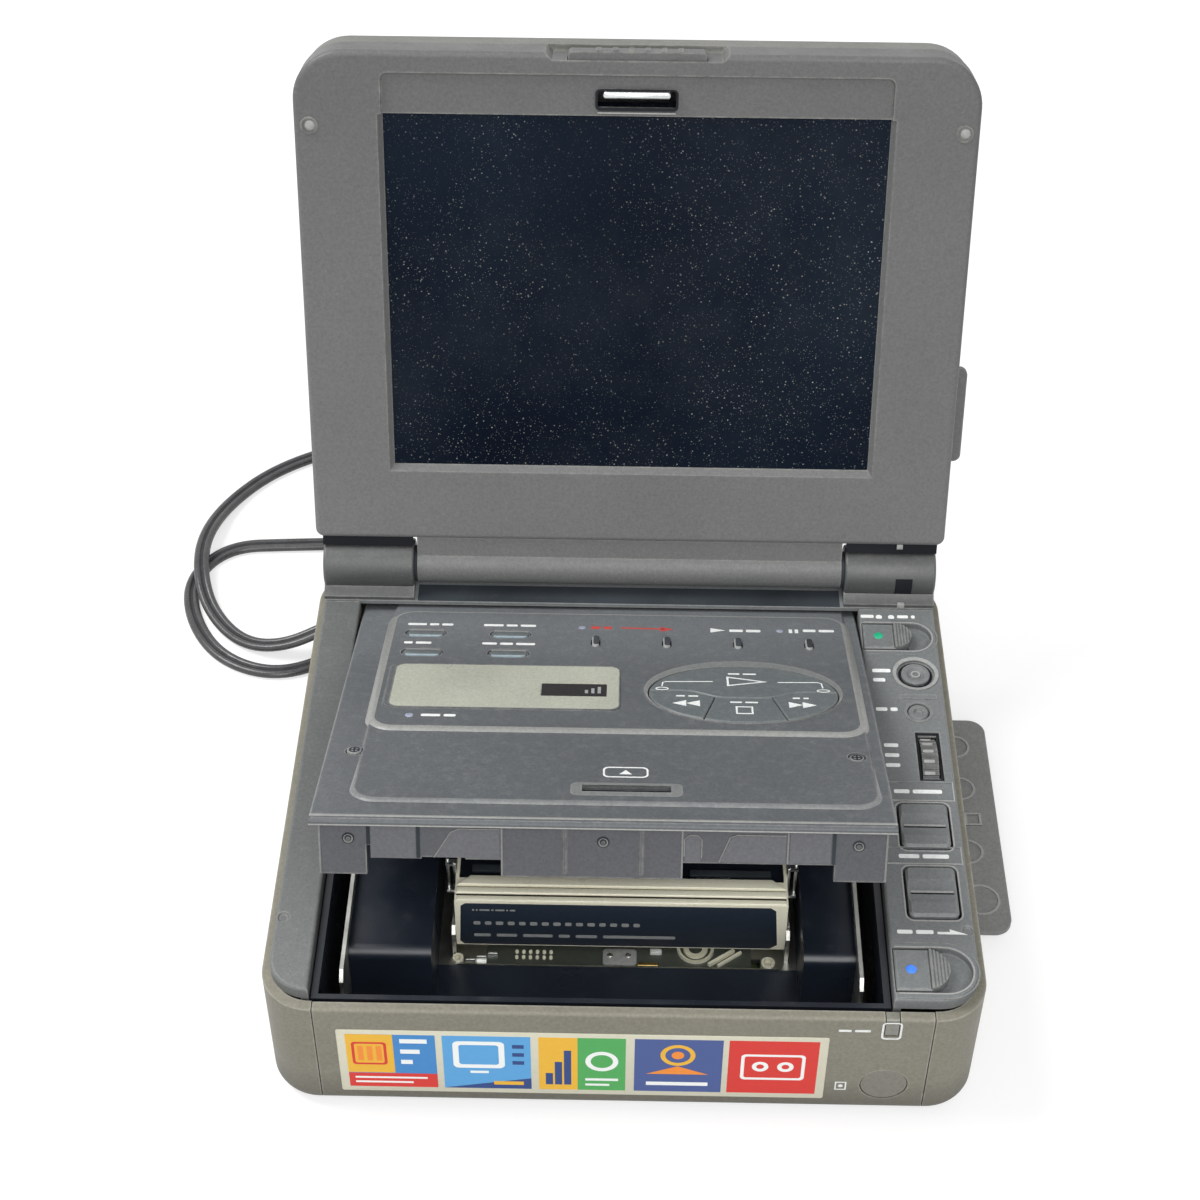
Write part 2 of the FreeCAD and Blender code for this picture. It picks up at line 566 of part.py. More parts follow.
def cavity_liner():
    inner_left = "open_left + liner_wall"
    inner_right = "open_right - liner_wall"
    left_block = inner_left + " + slot_wide"
    right_block = inner_right + " - slot_wide"
    low = "deck_z + deck_plate"
    frame = box("open_left + slit", "open_right - slit", "open_front", "liner_rear", low, "liner_top")
    frame = cut(
        frame,
        box(inner_left, inner_right, "open_front + 1.2", "liner_rear + 1", "liner_floor", "liner_top + 1"),
        box("well_left", "well_right", "deck_edge", "liner_rear + 1", "0", "liner_floor + 1"),
        box(inner_left, left_block, "open_front + 1.2", "liner_rear + 1", "0", "liner_floor + 1"),
        box(right_block, inner_right, "open_front + 1.2", "liner_rear + 1", "0", "liner_floor + 1"),
    )
    round_front = lambda edge, b: straight(edge, "x") and level(edge, "Z", b.ZMax) and level(edge, "Y",
                                                                                             b.YMin)
    left = fillet(box(left_block, "well_left", "block_front", "liner_rear", low, "block_top"), 2.5,
                  round_front)
    right = fillet(box("well_right", right_block, "block_front", "liner_rear", low, "block_top"), 2.5,
                   round_front)
    step = box("well_left + 25", "well_right - 28", "open_front + 1", "open_front + 9", low,
               "liner_floor + 1.4")
    piece(fuse(frame, left, right, step), "cavity_liner")


def rail(x0, x1):
    # An upturned side of the chassis, with the door pivot's bore
    tall = box(x0, x1, "skirt_front + skirt_thick + 5 * gap", "deck_front + 34", "deck_z", "rail_top")
    nose = box(x0, x1, "rail_front", "skirt_front + skirt_thick + 3", "deck_z", "skirt_low - 0.8")
    tall = chamfer(tall, 2.0, lambda edge, b: straight(edge, "x") and level(edge, "Z", b.ZMax))
    low = box(x0, x1, "deck_front + 30", "door_pivot_y + 4", "door_pivot_z - 3.2", "door_pivot_z + 5")
    return fuse(tall, nose, low)


def main_chassis():
    plate = box("deck_left + rail_thick", "deck_right - rail_thick", "deck_front", "deck_rear", "deck_z",
                "deck_z + deck_plate")
    notch_a = box("-6", "9", "deck_front - 1", "deck_front + 2.4", "0", "deck_z + 3")
    notch_b = box("22", "30", "deck_front - 1", "deck_front + 4", "0", "deck_z + 3")
    hole = rod("z", "capstan_x", "capstan_y", "0", "capstan_r + run_fit", "deck_z + deck_plate + 1")
    room_y = ("door_pivot_y - pin_r - 2 * gap", "door_pivot_y + pin_r + 2 * gap")
    room_a = box("deck_left", "deck_left + 5", *room_y, "0", "deck_z + 3")
    room_b = box("deck_right - 5", "deck_right", *room_y, "0", "deck_z + 3")
    piece(cut(plate, notch_a, notch_b, hole, room_a, room_b), "main_chassis")


def side_rails():
    # The upturned sides that carry the door's pins
    rails = []
    for x0, x1 in (("deck_left", "deck_left + rail_thick"), ("deck_right - rail_thick", "deck_right")):
        bore = rod("x", "(%s) - 1" % x0, "door_pivot_y", "door_pivot_z", "pin_r + run_fit",
                   "rail_thick + 2")
        rails.append(cut(rail(x0, x1), bore))
    return rails


def holder_brackets():
    # The walls that carry the holder's pins
    side_front = "holder_front + 1"
    side_rear = "holder_front + holder_long + 8"
    brackets = []
    for side, x0 in (("-1", "holder_x - holder_half - gap - rail_thick"),
                     ("1", "holder_x + holder_half + gap")):
        x1 = "(%s) + rail_thick" % x0
        wall_plate = box(x0, x1, side_front, side_rear, "deck_z + deck_plate", "holder_low + 3.4")
        wall_plate = chamfer(wall_plate, 1.5, lambda edge,
                             b: straight(edge, "x") and level(edge, "Z", b.ZMax))
        window = box("(%s) - 1" % x0, "(%s) + 1" % x1, side_front + " + 8", side_rear + " - 14",
                     "deck_z + deck_plate + 2", "holder_low + 1")
        pin_long = "gap + rail_thick + holder_sheet"
        pin_x = "(%s) - holder_sheet - gap" % x0 if side == "1" else x0
        pin = rod("x", pin_x, "holder_front + holder_long + 4", "holder_low", "1", pin_long)
        brackets.append(fuse(cut(wall_plate, window), pin))
    return brackets


def deck_rails():
    piece(group(*side_rails(), *holder_brackets()), "deck_rails")


def spindle_posts():
    # The fixed posts under the two reels and in the roller
    posts = []
    for x in reel_places():
        posts.append(rod("z", x, "reel_y", "deck_z + deck_plate", "0.8", "reel_tall + 2"))
    posts.append(rod("z", "capstan_x", "capstan_y + capstan_r + roller_r + roller_gap",
                     "deck_z + deck_plate",
                     "0.9", "roller_tall + 1.4"))
    return posts


def reel_places():
    return ["reel_x - reel_pitch / 2", "reel_x + reel_pitch / 2"]


def reel(name, x):
    z0 = "deck_z + deck_plate + slit / 2"
    table = rod("z", x, "reel_y", z0, "reel_r", "reel_tall - 1")
    hub = rod("z", x, "reel_y", z0, "reel_hub_r", "reel_hub_tall")
    teeth = []
    for i in range(3):
        angle = 2 * math.pi * i / 3
        teeth.append(rod("z", "(%s) + %.4f" % (x, 1.7 * math.cos(angle)),
                         "reel_y + %.4f" % (1.7 * math.sin(angle)),
                         z0, "0.5", "reel_hub_tall - 1.5"))
    gear = []
    for i in range(24):
        angle = 2 * math.pi * i / 24
        gear.append(rod("z", "(%s) + reel_r * %.4f" % (x, math.cos(angle)),
                        "reel_y + reel_r * %.4f" % math.sin(angle),
                        z0, "0.3", "reel_tall"))
    bore = rod("z", x, "reel_y", "0", "0.8 + run_fit", "deck_z + deck_plate + reel_tall + 2.3")
    piece(cut(fuse(cut(table, *gear), hub, *teeth), bore), name)


def drum_base():
    z0 = "deck_z + deck_plate"
    body = rod("z", "drum_x", "drum_y", z0, "drum_r", "drum_low")
    bore = rod("z", "drum_x", "drum_y", z0 + " + 1", "2 + run_fit", "drum_low")
    ledge = cut(rod("z", "drum_x", "drum_y", z0, "drum_r + 1.2", "drum_low * 0.4"),
                rod("z", "drum_x", "drum_y", "0", "drum_r - 1", "40"))
    piece(fuse(cut(body, bore), ledge), "drum_base")


def head_drum():
    z0 = "deck_z + deck_plate + drum_low + slit"
    body = rod("z", "drum_x", "drum_y", z0, "drum_r", "drum_tall - drum_low - slit")
    body = chamfer(body, 0.4, top_edges)
    dish = rod("z", "drum_x", "drum_y", "deck_z + deck_plate + drum_tall - 1", "drum_r - 2.5", "2")
    shaft = rod("z", "drum_x", "drum_y", "deck_z + deck_plate + 1 + slit", "2", "drum_low + 2")
    heads = []
    for i in range(2):
        angle = math.pi * i + 0.5
        heads.append(rod("z", "drum_x + (drum_r - 0.4) * %.4f" % math.cos(angle),
                         "drum_y + (drum_r - 0.4) * %.4f" % math.sin(angle), "0", "0.7", z0 + " + 1"))
    piece(fuse(cut(body, dish, *heads), shaft), "head_drum")


def capstan_flywheel():
    wheel = rod("z", "capstan_x", "capstan_y", "deck_z - flywheel_tall - slit", "flywheel_r",
                "flywheel_tall")
    shaft = rod("z", "capstan_x", "capstan_y", "deck_z - flywheel_tall - slit", "capstan_r", "capstan_tall")
    holes = []
    for i in range(5):
        angle = 2 * math.pi * i / 5
        holes.append(rod("z", "capstan_x + flywheel_r * %.4f" % (0.6 * math.cos(angle)),
                         "capstan_y + flywheel_r * %.4f" % (0.6 * math.sin(angle)), "0", "1.4", "deck_z"))
    piece(fuse(cut(wheel, *holes), shaft), "capstan_flywheel")


def pinch_roller():
    y = "capstan_y + capstan_r + roller_r + roller_gap"
    z0 = "deck_z + deck_plate + slit / 2"
    body = rod("z", "capstan_x", y, z0, "roller_r", "roller_tall")
    body = fillet(body, 0.4, lambda edge, b: top_edges(edge, b) or low_edges(edge, b))
    piece(cut(body, rod("z", "capstan_x", y, "0", "0.9 + run_fit", "40")), "pinch_roller")


def tape_guides():
    # The flanged posts that lead the tape round the drum
    places = [("capstan_x - 14", "capstan_y + 4"), ("capstan_x - 5.5", "capstan_y + 9"),
              ("drum_x - drum_r - 3.4", "drum_y"), ("drum_x + drum_r + 4", "drum_y - 4")]
    posts = []
    for x, y in places:
        z0 = "deck_z + deck_plate"
        stalk = rod("z", x, y, z0, "guide_r", "guide_tall")
        low = rod("z", x, y, z0, "guide_r + 0.7", "1.6")
        high = rod("z", x, y, z0 + " + guide_tall - 1", "guide_r + 0.7", "1")
        posts.append(fuse(stalk, low, high))
    return posts


def deck_posts():
    piece(group(*spindle_posts(), *tape_guides()), "deck_posts")


def cassette_holder():
    x0 = "holder_x - holder_half"
    x1 = "holder_x + holder_half"
    y1 = "holder_front + holder_long"
    shell = box(x0, x1, "holder_front", y1, "holder_low", "holder_high")
    room = box(x0 + " + holder_sheet", x1 + " - holder_sheet", "holder_front + holder_sheet", y1 + " + 1",
               "holder_low + holder_sheet", "holder_high - 1.6")
    mouth = box(x0 + " + holder_sheet", x1 + " - holder_sheet", "holder_front + holder_lip", y1 + " + 1",
                "holder_low + 4", "holder_high + 1")
    shell = cut(shell, room, mouth)
    lines = []
    for i in range(2):
        y = "holder_front + %s" % (1.9 + 2.1 * i)
        lines.append(box(x0 + " - 1", x1 + " + 1", y, y + " + 0.3", "holder_high - 0.4", "holder_high + 1"))
    holes = [rod("z", x, "reel_y", "0", "reel_r - 0.8", "holder_low + 3") for x in reel_places()]
    slot = box("holder_x - 8", "holder_x + 8", y1 + " - 14", y1 + " + 1", "0", "holder_low + 3")
    ears = []
    for x in (x0, x1 + " - holder_sheet"):
        ears.append(box(x, "(%s) + holder_sheet" % x, y1 + " - 4", y1 + " + 6.5", "holder_low - 2.2",
                        "holder_low + 6"))
    whole = fuse(cut(shell, *(lines + holes + [slot])), *ears)
    bore = rod("x", x0 + " - 1", "holder_front + holder_long + 4", "holder_low", "1 + run_fit",
               "2 * holder_half + 2")
    piece(cut(whole, bore), "cassette_holder")


def main_board():
    board = box("-board_half", "board_half", "board_front", "board_rear", "board_z",
                "board_z + board_thick")
    chips = []
    for x, y, wide, deep_chip, tall in ((-38, 40, 14, 14, 1.6), (-16, 44, 18, 12, 1.2),
                                        (12, 42, 12, 12, 1.6),
                                        (30, 46, 10, 16, 1.4), (-40, 64, 10, 10, 1.2), (8, 68, 20, 9, 1.4)):
        chips.append(box(str(x), "%s + %s" % (x, wide), str(y), "%s + %s" % (y, deep_chip),
                         "board_z + board_thick / 2", "board_z + board_thick + %s" % tall))
    piece(fuse(board, *chips), "main_board")


# Sides and rear


JACKS = (("jack_one", "jack_small_r"), ("jack_two", "jack_small_r"), ("jack_four", "jack_small_r"),
         ("jack_five", "jack_big_r"))


def jack_panel():
    x0 = "wide / 2 - wall - gap"
    x1 = "wide / 2 - flap_thick - 2 * slit"
    plate = box(x0, x1, "flap_front - gap + slit", "flap_rear + gap - slit",
                "jack_low - flap_thick / 2", "jack_low + jack_tall + gap + flap_thick / 2 - slit")
    sleeves = [rod("x", "wide / 2 - jack_depth", y, "jack_z", r + " + 0.9",
                   "jack_depth - flap_thick - 2 * slit")
               for y, r in JACKS]
    tools = [rod("x", "wide / 2 - jack_depth + 1", y, "jack_z", r, "jack_depth") for y, r in JACKS]
    half = "jack_square / 2"
    tools.append(box("wide / 2 - jack_depth", "wide / 2", "jack_three - " + half, "jack_three + " + half,
                     "jack_z - " + half, "jack_z + " + half))
    piece(cut(fuse(plate, *sleeves), *tools), "jack_panel")


def jack_cover():
    # Lies open, hinged along its lower edge
    x0 = "wide / 2 - flap_thick / 2"
    x1 = x0 + " + jack_tall + 0.6"
    low = "jack_low - flap_thick / 2"
    high = "jack_low + flap_thick / 2"
    flap = box(x0, x1, "flap_front", "flap_rear", low, high)
    flap = fillet(flap, n("flap_round"), lambda edge, b: upright(edge, b) and level(edge, "X", b.XMax))
    knuckle = rod("y", x0, "flap_front", "jack_low", "flap_thick / 2", "flap_rear - flap_front")
    pin = rod("y", x0, "flap_front - 1.4", "jack_low", "flap_thick / 2", "flap_rear - flap_front + 2.8")
    rings = []
    centre = x0 + " + jack_z - jack_low"
    for y, r in JACKS:
        big = r == "jack_big_r"
        x = centre + (" + 0.9" if big else " - 0.6")
        wide_r = "mark_big_r" if big else "mark_small_r"
        ring = cut(rod("z", x, y, high + " - 0.2", wide_r, "0.5"),
                   rod("z", x, y, "0", wide_r + " - 0.5", "20"))
        rings.append(ring)
    half = "jack_square / 2"
    square_x = centre + " + 1.6"
    frame = cut(box(square_x + " - " + half, square_x + " + " + half, "jack_three - " + half,
                    "jack_three + " + half,
                    high + " - 0.2", high + " + 0.3"),
                box(square_x + " - jack_square / 2 + 0.5", square_x + " + jack_square / 2 - 0.5",
                    "jack_three - jack_square / 2 + 0.5", "jack_three + jack_square / 2 - 0.5", "0", "20"))
    piece(fuse(flap, knuckle, pin, frame, *rings), "jack_cover")


def dc_inlet():
    half = "inlet_half"
    body = box("inlet_x - " + half, "inlet_x + " + half, "deep - wall - 9", "deep", "inlet_z - " + half,
               "inlet_z + " + half)
    bore = rod("y", "inlet_x", "deep - 8", "inlet_z", "plug_r - 1.4 + run_fit", "9")
    piece(cut(body, bore), "dc_inlet")


# Cassette door


def door_low():
    return "door_top - 2 * step_tall - door_thick"


def oval(y, long, short, grow, z0, z1):
    # An oval slab in the door's own frame
    rise = n("door_pivot_z")
    centre = FreeCAD.Vector(n("pad_x"), n(y) - n("door_pivot_y"), z0 - rise)
    curve = Part.Ellipse(centre, n(long) / 2 + grow, n(short) / 2 + grow)
    quarter = math.pi / 2
    sides = [curve.toShape(quarter, 3 * quarter), curve.toShape(3 * quarter, 5 * quarter)]
    return Part.Face(Part.Wire(sides)).extrude(FreeCAD.Vector(0, 0, z1 - z0))


def pad_oval(z0, z1):
    return oval("pad_y", "pad_long", "pad_short", 0, z0, z1)


def keys_oval(grow, z0, z1):
    return oval("keys_y", "keys_long", "keys_short", grow, z0, z1)


def door_slab(x0, x1, y0, top, corner_size):
    slab = box(x0, x1, y0, "door_rear", door_low(), top)
    slab = fillet(slab, corner_size, lambda edge, b: upright(edge, b) and level(edge, "Y", b.YMin))
    slab = chamfer(slab, 0.35, lambda edge, b: level(edge, "Z", b.ZMax) and not level(edge, "Y", b.YMax))
    return chamfer(slab, 1.1, lambda edge, b: level(edge, "Z", b.ZMax) and level(edge, "Y", b.YMax))


def door_panel():
    lowest = door_slab("open_left + door_gap", "open_right - door_gap", "door_front",
                       "door_top - 2 * step_tall", 1.0)
    middle = door_slab("mid_left", "mid_right", "mid_front", "door_top - step_tall", n("step_round"))
    highest = door_slab("mid_left + 0.4", "mid_right - 0.4", "high_front", "door_top", n("step_round"))
    ring = made(pad_oval(n("door_top") - 1, n("door_top") + n("pad_rise") / 2))
    panel = fuse(lowest, middle, highest, ring)
    top = "door_top + 3"
    low = "door_top - 9"
    holes = [made(keys_oval(n("key_gap"), n("door_top") - 9, n("door_top") + 3))]
    for x, y in pill_places().values():
        holes.append(pill_box(x, y, "key_gap", low, top))
    for x in nub_places().values():
        holes.append(nub_box(x, "key_gap", low, top))
    holes.append(fillet(box("plate_left - slit / 2", "plate_right + slit / 2", "plate_front - slit / 2",
                            "plate_rear + slit / 2", "door_top - plate_thick / 2", top), 2.0, upright))
    holes.append(box("-groove_half", "groove_half", "groove_front", "groove_rear",
                     "door_top - step_tall - groove_deep", top))
    for side in ("-1", "1"):
        holes.append(rod("z", "door_mid + (%s) * screw_out" % side, "screw_y",
                         "door_top - step_tall - 1.1", "screw_r + slit", "9"))
    piece(cut(panel, *holes), "door_panel")


def pill_places():
    return {
        "display_button": ("pill_left", "pill_rear"),
        "title_button": ("pill_left", "pill_front"),
        "dub_button": ("pill_right", "pill_rear"),
        "assemble_button": ("pill_right", "pill_front"),
    }


def nub_places():
    names = ("record_button", "record_mate_button", "slow_button", "pause_button")
    return {name: "nub_left + %d * nub_pitch" % i for i, name in enumerate(names)}


def pill_box(x, y, grow, z0, z1):
    half_x = "(pill_long / 2 + (%s))" % grow
    half_y = "(pill_short / 2 + (%s))" % grow
    return pill("%s - %s" % (x, half_x), "%s + %s" % (x, half_x), "%s - %s" % (y, half_y),
                "%s + %s" % (y, half_y), z0, z1)


def nub_box(x, grow, z0, z1):
    half = "(nub / 2 + (%s))" % grow
    return box("%s - %s" % (x, half), "%s + %s" % (x, half), "nub_y - " + half, "nub_y + " + half, z0, z1)


def door_buttons():
    bottom = "door_top - key_deep"
    for name, (x, y) in pill_places().items():
        body = pill_box(x, y, "0", bottom, "door_top - 0.1")
        dish = rod("x", "(%s) - 9" % x, y, "door_top + 7.6", "8", "18")
        piece(cut(body, dish), name)
    for name, x in nub_places().items():
        body = nub_box(x, "0", bottom, "door_top + nub_rise")
        piece(fillet(body, 0.5, top_edges), name)


def oval_key(name, outline):
    # One key of the oval cluster, cut to its share of the oval
    rise = n("door_pivot_z")
    mid = FreeCAD.Vector(n("pad_x"), n("keys_y") - n("door_pivot_y"), 0)
    low = n("door_top") - n("key_deep")
    high = n("door_top") + n("pad_rise")
    points = [mid + FreeCAD.Vector(x, y, low - rise - 1) for x, y in outline]
    share = Part.Face(Part.makePolygon(points + [points[0]])).extrude(FreeCAD.Vector(0, 0, high - low + 2))
    key = keys_oval(0, low, high).common(share)
    top = [edge for edge in key.Edges if edge.BoundBox.ZMin > high - rise - 0.01]
    piece(made(key.makeChamfer(0.25, top)), name)


def wave(x):
    # Height of the line between the upper key and the lower three
    t = min(max((abs(x) - n("split_in")) / (n("split_out") - n("split_in")), 0), 1)
    return n("split_low") + n("split_rise") * t * t * (3 - 2 * t)


def main_keys():
    far = n("keys_long")
    gap = n("key_gap") / 2
    inner = n("stop_top") / 2
    outer = n("stop_low") / 2
    bottom = -n("keys_short") / 2
    lean = (outer - inner) / (-bottom + n("split_low"))
    steps = [far * i / 42 for i in range(-26, 27)]
    upper = [(-far, wave(far) + gap)] + [(x, wave(x) + gap) for x in steps] + [(far, wave(far) + gap)]
    oval_key("play_key", upper + [(far, far), (-far, far)])
    low_x = outer + lean * 2
    low_y = bottom - 2
    middle = [(x, wave(x) - gap) for x in steps if abs(x) < inner - 0.8]
    oval_key("stop_key", [(-inner + gap, wave(inner) - gap)] + middle + [(inner - gap, wave(inner) - gap),
                          (low_x - gap, low_y), (-low_x + gap, low_y)])
    side = [(x, wave(x) - gap) for x in steps if x > inner + 1]
    right = [(inner + gap, wave(inner) - gap)] + side + [(far, wave(far) - gap), (far, low_y),
                                                         (low_x + gap, low_y)]
    oval_key("forward_key", right)
    oval_key("rewind_key", [(-x, y) for x, y in right])


def format_plate():
    plate = box("plate_left", "plate_right", "plate_front", "plate_rear", "door_top - plate_thick / 2",
                "door_top + plate_thick / 2")
    plate = fillet(plate, 2.0, upright)
    plate = chamfer(plate, 0.15, top_edges)
    window = box("plate_right - 17.4", "plate_right - 2.7", "plate_front + 6.2", "plate_front + 12.8",
                 "door_top + plate_thick / 2 - 0.15", "door_top + 2")
    piece(cut(plate, window), "format_plate")


def door_skirt():
    high = door_low()
    left = "open_left + liner_wall + gap"
    right = "open_right - liner_wall - gap"
    inner_left = "open_left + 3.8"
    inner_right = "open_right - 3.8"
    y0 = "skirt_front"
    y1 = "skirt_front + skirt_thick"
    wall_piece = box(left, right, y0, y1, "skirt_mid", high)
    parts = [wall_piece]
    for x0, x1 in ((left, "open_left + 12"), ("door_mid - 20.3", "door_mid + 15.9"),
                   ("door_mid + 46.3", right)):
        parts.append(box(x0, x1, y0, y1, "skirt_low", high))
    frame = box(inner_left, inner_right, y0, "door_rear - 4", high + " - 1.2", high)
    frame = cut(frame, box(inner_left + " + 4", inner_right + " - 4", "skirt_front + 9", "door_rear - 9",
                           "0",
                           "door_top"))
    backing = box(inner_left + " + 2", inner_right + " - 2", "high_front - 1", "door_rear - 5",
                  "door_top - key_deep - 1.4",
                  "door_top - key_deep - 0.5")
    rim_a = box(inner_left + " + 2", inner_right + " - 2", "high_front - 1", "high_front",
                "door_top - key_deep - 1", high)
    rim_b = box(inner_left + " + 2", inner_right + " - 2", "door_rear - 6", "door_rear - 5",
                "door_top - key_deep - 1", high)
    parts += [frame, backing, rim_a, rim_b]
    for x in ("door_mid - 7.7", "door_mid + 7.6"):
        parts.append(box("(%s) - 0.35" % x, "(%s) + 0.35" % x, "skirt_front - 0.4", y1, "skirt_low + 1",
                         high))
    notches = [box("open_left + 22.6", "open_left + 31.4", y0 + " - 2", y1 + " + 2", "skirt_mid - 1",
                   "skirt_mid + 0.4"),
               box("open_left + 11.6", "open_left + 12.4", y0 + " - 2", y1 + " + 2", "0", "skirt_mid + 3")]
    holes = [rod("y", "door_mid + (%d) * 51" % i, "skirt_front - 1", "skirt_low + 8.3", "0.8", "2")
             for i in (-1, 0, 1)]
    piece(cut(fuse(*parts), *(notches + holes)), "door_skirt")


def door_screws():
    screws = []
    for side in ("-1", "1"):
        x = "door_mid + (%s) * screw_out" % side
        head = rod("z", x, "screw_y", "door_top - step_tall - 1.1 + run_fit", "screw_r", "0.8")
        head = fillet(head, 0.25, top_edges)
        cross = [box("(%s) - 1" % x, "(%s) + 1" % x, "screw_y - 0.25", "screw_y + 0.25", "door_top - 0.9",
                     "door_top + 1"),
                 box("(%s) - 0.25" % x, "(%s) + 0.25" % x, "screw_y - 1", "screw_y + 1", "door_top - 0.9",
                     "door_top + 1")]
        screws.append(cut(head, *cross))
    for i in (-1, 0, 1):
        x = "door_mid + (%d) * 51" % i
        head = rod("y", x, "skirt_front - 0.9", "skirt_low + 8.3", "1.5", "0.85")
        shank = rod("y", x, "skirt_front - 0.5", "skirt_low + 8.3", "0.75", "1.2")
        screws.append(fuse(head, shank))
    piece(group(*screws), "door_screws")


def door_arms():
    high = door_low()
    arms = []
    left_x = "open_left + liner_wall + 0.7"
    right_x = "open_right - liner_wall - 0.7 - arm_thick"
    for x0, pin_x in ((left_x, left_x), (right_x, right_x + " - 2.2")):
        x1 = "(%s) + arm_thick" % x0
        band = box(x0, x1, "skirt_front + 8", "door_pivot_y + 4", "%s - arm_tall" % high, high)
        band = chamfer(band, 5.0, lambda edge, b: straight(edge, "x") and level(edge, "Z", b.ZMin)
                       and level(edge, "Y", b.YMin))
        leg = box(x0, x1, "door_pivot_y - 6", "door_pivot_y + 4", "door_pivot_z - 2.8", high)
        leg = fillet(leg, 3.0, lambda edge, b: straight(edge, "x") and level(edge, "Z", b.ZMin))
        pin = rod("x", pin_x, "door_pivot_y", "door_pivot_z", "pin_r", "arm_thick + 2.2")
        arms.append(fuse(band, leg, pin))
    piece(group(*arms), "door_arms")


# Lid


def lid_block(y0, y1, inset):
    low = "lid_up + (%s)" % inset
    high = "lid_up + lid_long - (%s)" % inset
    block = box("-wide / 2 + (%s)" % inset, "wide / 2 - (%s)" % inset, y0, y1, low, high)
    block = fillet(block, n("lid_round"), lambda edge, b: straight(edge, "y") and level(edge, "Z", b.ZMax))
    return fillet(block, n("lid_foot_round"), lambda edge,
                  b: straight(edge, "y") and level(edge, "Z", b.ZMin))


def lid_bezel():
    front = "-face_out"
    back = "-face_out + bezel_thick"
    body = fillet(lid_block(front, back, "0"), 1.2, front_face_edges)
    room = lid_block(front + " + glass_in", back + " + 1", "lid_wall")
    window = box("-win_half", "win_half", front + " - 1", back, "lid_up + win_low", "lid_up + win_high")
    window_bevel = chamfer_frame()
    step = fillet(box("-win_half - 0.2", "win_half + 0.2", front + " - 1", front + " + step_deep",
                      "lid_up + win_high - 1", "lid_up + step_high"), 1.5,
                  lambda edge, b: straight(edge, "y") and level(edge, "Z", b.ZMax))
    slot = box("-latch_half", "latch_half", front + " - 1", back, "lid_up + latch_low",
               "lid_up + latch_high")
    scoop = scoop_block(front + " - 1", front + " + bezel_thick + 1")
    well = box("-release_half - slit", "release_half + slit", front + " + 0.6",
               front + " + release_thick + 1",
               "lid_up + lid_long - release_deep - 1", "lid_up + lid_long + 1")
    shell = cut(body, room, window, window_bevel, step, slot, scoop, well)
    barrel = rod("x", "-barrel_half", "0", "0", "barrel_r", "2 * barrel_half")
    web = box("-barrel_half", "barrel_half", front + " + 0.9", "barrel_r - 0.6", "0",
              "lid_up + lid_wall / 2")
    bore = rod("x", "-barrel_half - 1", "0", "0", "hinge_pin_r + run_fit", "2 * barrel_half + 2")
    inner = rod("x", "-barrel_half + hinge_pin_long", "0", "0", "hinge_pin_r + 0.2",
                "2 * barrel_half - 2 * hinge_pin_long")
    piece(cut(fuse(shell, barrel, web), bore, inner), "lid_bezel")


def scoop_block(y0, y1):
    # The dip in the lid's top edge round the release bar, with sloping ends
    ends = box("-scoop_half", "scoop_half", y0, y1, "lid_up + lid_long - scoop_deep",
               "lid_up + lid_long + scoop_deep")
    return chamfer(ends, n("scoop_deep") * 1.9, lambda edge,
                   b: straight(edge, "y") and level(edge, "Z", b.ZMin))


def chamfer_frame():
    # The shallow splay round the screen window
    half = n("win_half")
    grow = 1.1
    low = n("lid_up") + n("win_low")
    high = n("lid_up") + n("win_high")
    depth = n("glass_in") - 0.2
    loops = []
    for out, y in ((grow, -n("face_out")), (0.0, -n("face_out") + depth)):
        corners = [(-half - out, low - out * 1.3), (half + out, low - out * 1.3),
                   (half + out, high), (-half - out, high)]
        points = [FreeCAD.Vector(x, y, z) for x, z in corners]
        loops.append(Part.makePolygon(points + [points[0]]))
    return made(Part.makeLoft(loops, True, True))


def lid_rear_cover():
    front = "-face_out + bezel_thick"
    back = "-face_out + lid_thick"
    body = lid_block(front, back, "0.3")
    body = fillet(body, 4.0, rear_face_edges)
    room = lid_block(front + " - 1", back + " - lid_wall", "lid_wall + 0.3")
    notch = scoop_block(front + " - 1", front + " + 1.2")
    port = box("wide / 2 - lid_wall - 1", "wide / 2 + 1", "port_y - port_wide - slit",
               "port_y + port_thick / 2 + slit",
               "lid_up + port_low", "lid_up + port_low + port_long")
    bore = rod("z", "wide / 2 - 0.3 - port_thick / 2", "port_y", "lid_up + port_low - 1.4", "0.4 + run_fit",
               "port_long + 2.8")
    piece(cut(body, room, notch, port, bore), "lid_rear_cover")


def port_cover():
    # A small cover on the lid's right edge, standing open
    x0 = "wide / 2 - 0.3 - port_thick / 2"
    low = "lid_up + port_low + slit"
    high = "lid_up + port_low + port_long - slit"
    plate = box(x0, x0 + " + port_wide", "port_y - port_thick / 2", "port_y + port_thick / 2", low, high)
    plate = fillet(plate, 1.8, lambda edge, b: straight(edge, "y") and level(edge, "X", b.XMax))
    knuckle = rod("z", x0, "port_y", low, "port_thick / 2", "port_long - 2 * slit")
    pin = rod("z", x0, "port_y", "lid_up + port_low - 1.2", "0.4", "port_long + 2.4")
    piece(fuse(plate, knuckle, pin), "port_cover")


def lcd_panel():
    y0 = "-face_out + glass_in + run_fit"
    glass = box("-win_half - lcd_over", "win_half + lcd_over", y0, y0 + " + lcd_thick",
                "lid_up + win_low - lcd_over", "lid_up + win_high + lcd_over")
    piece(group(glass), "lcd_panel")


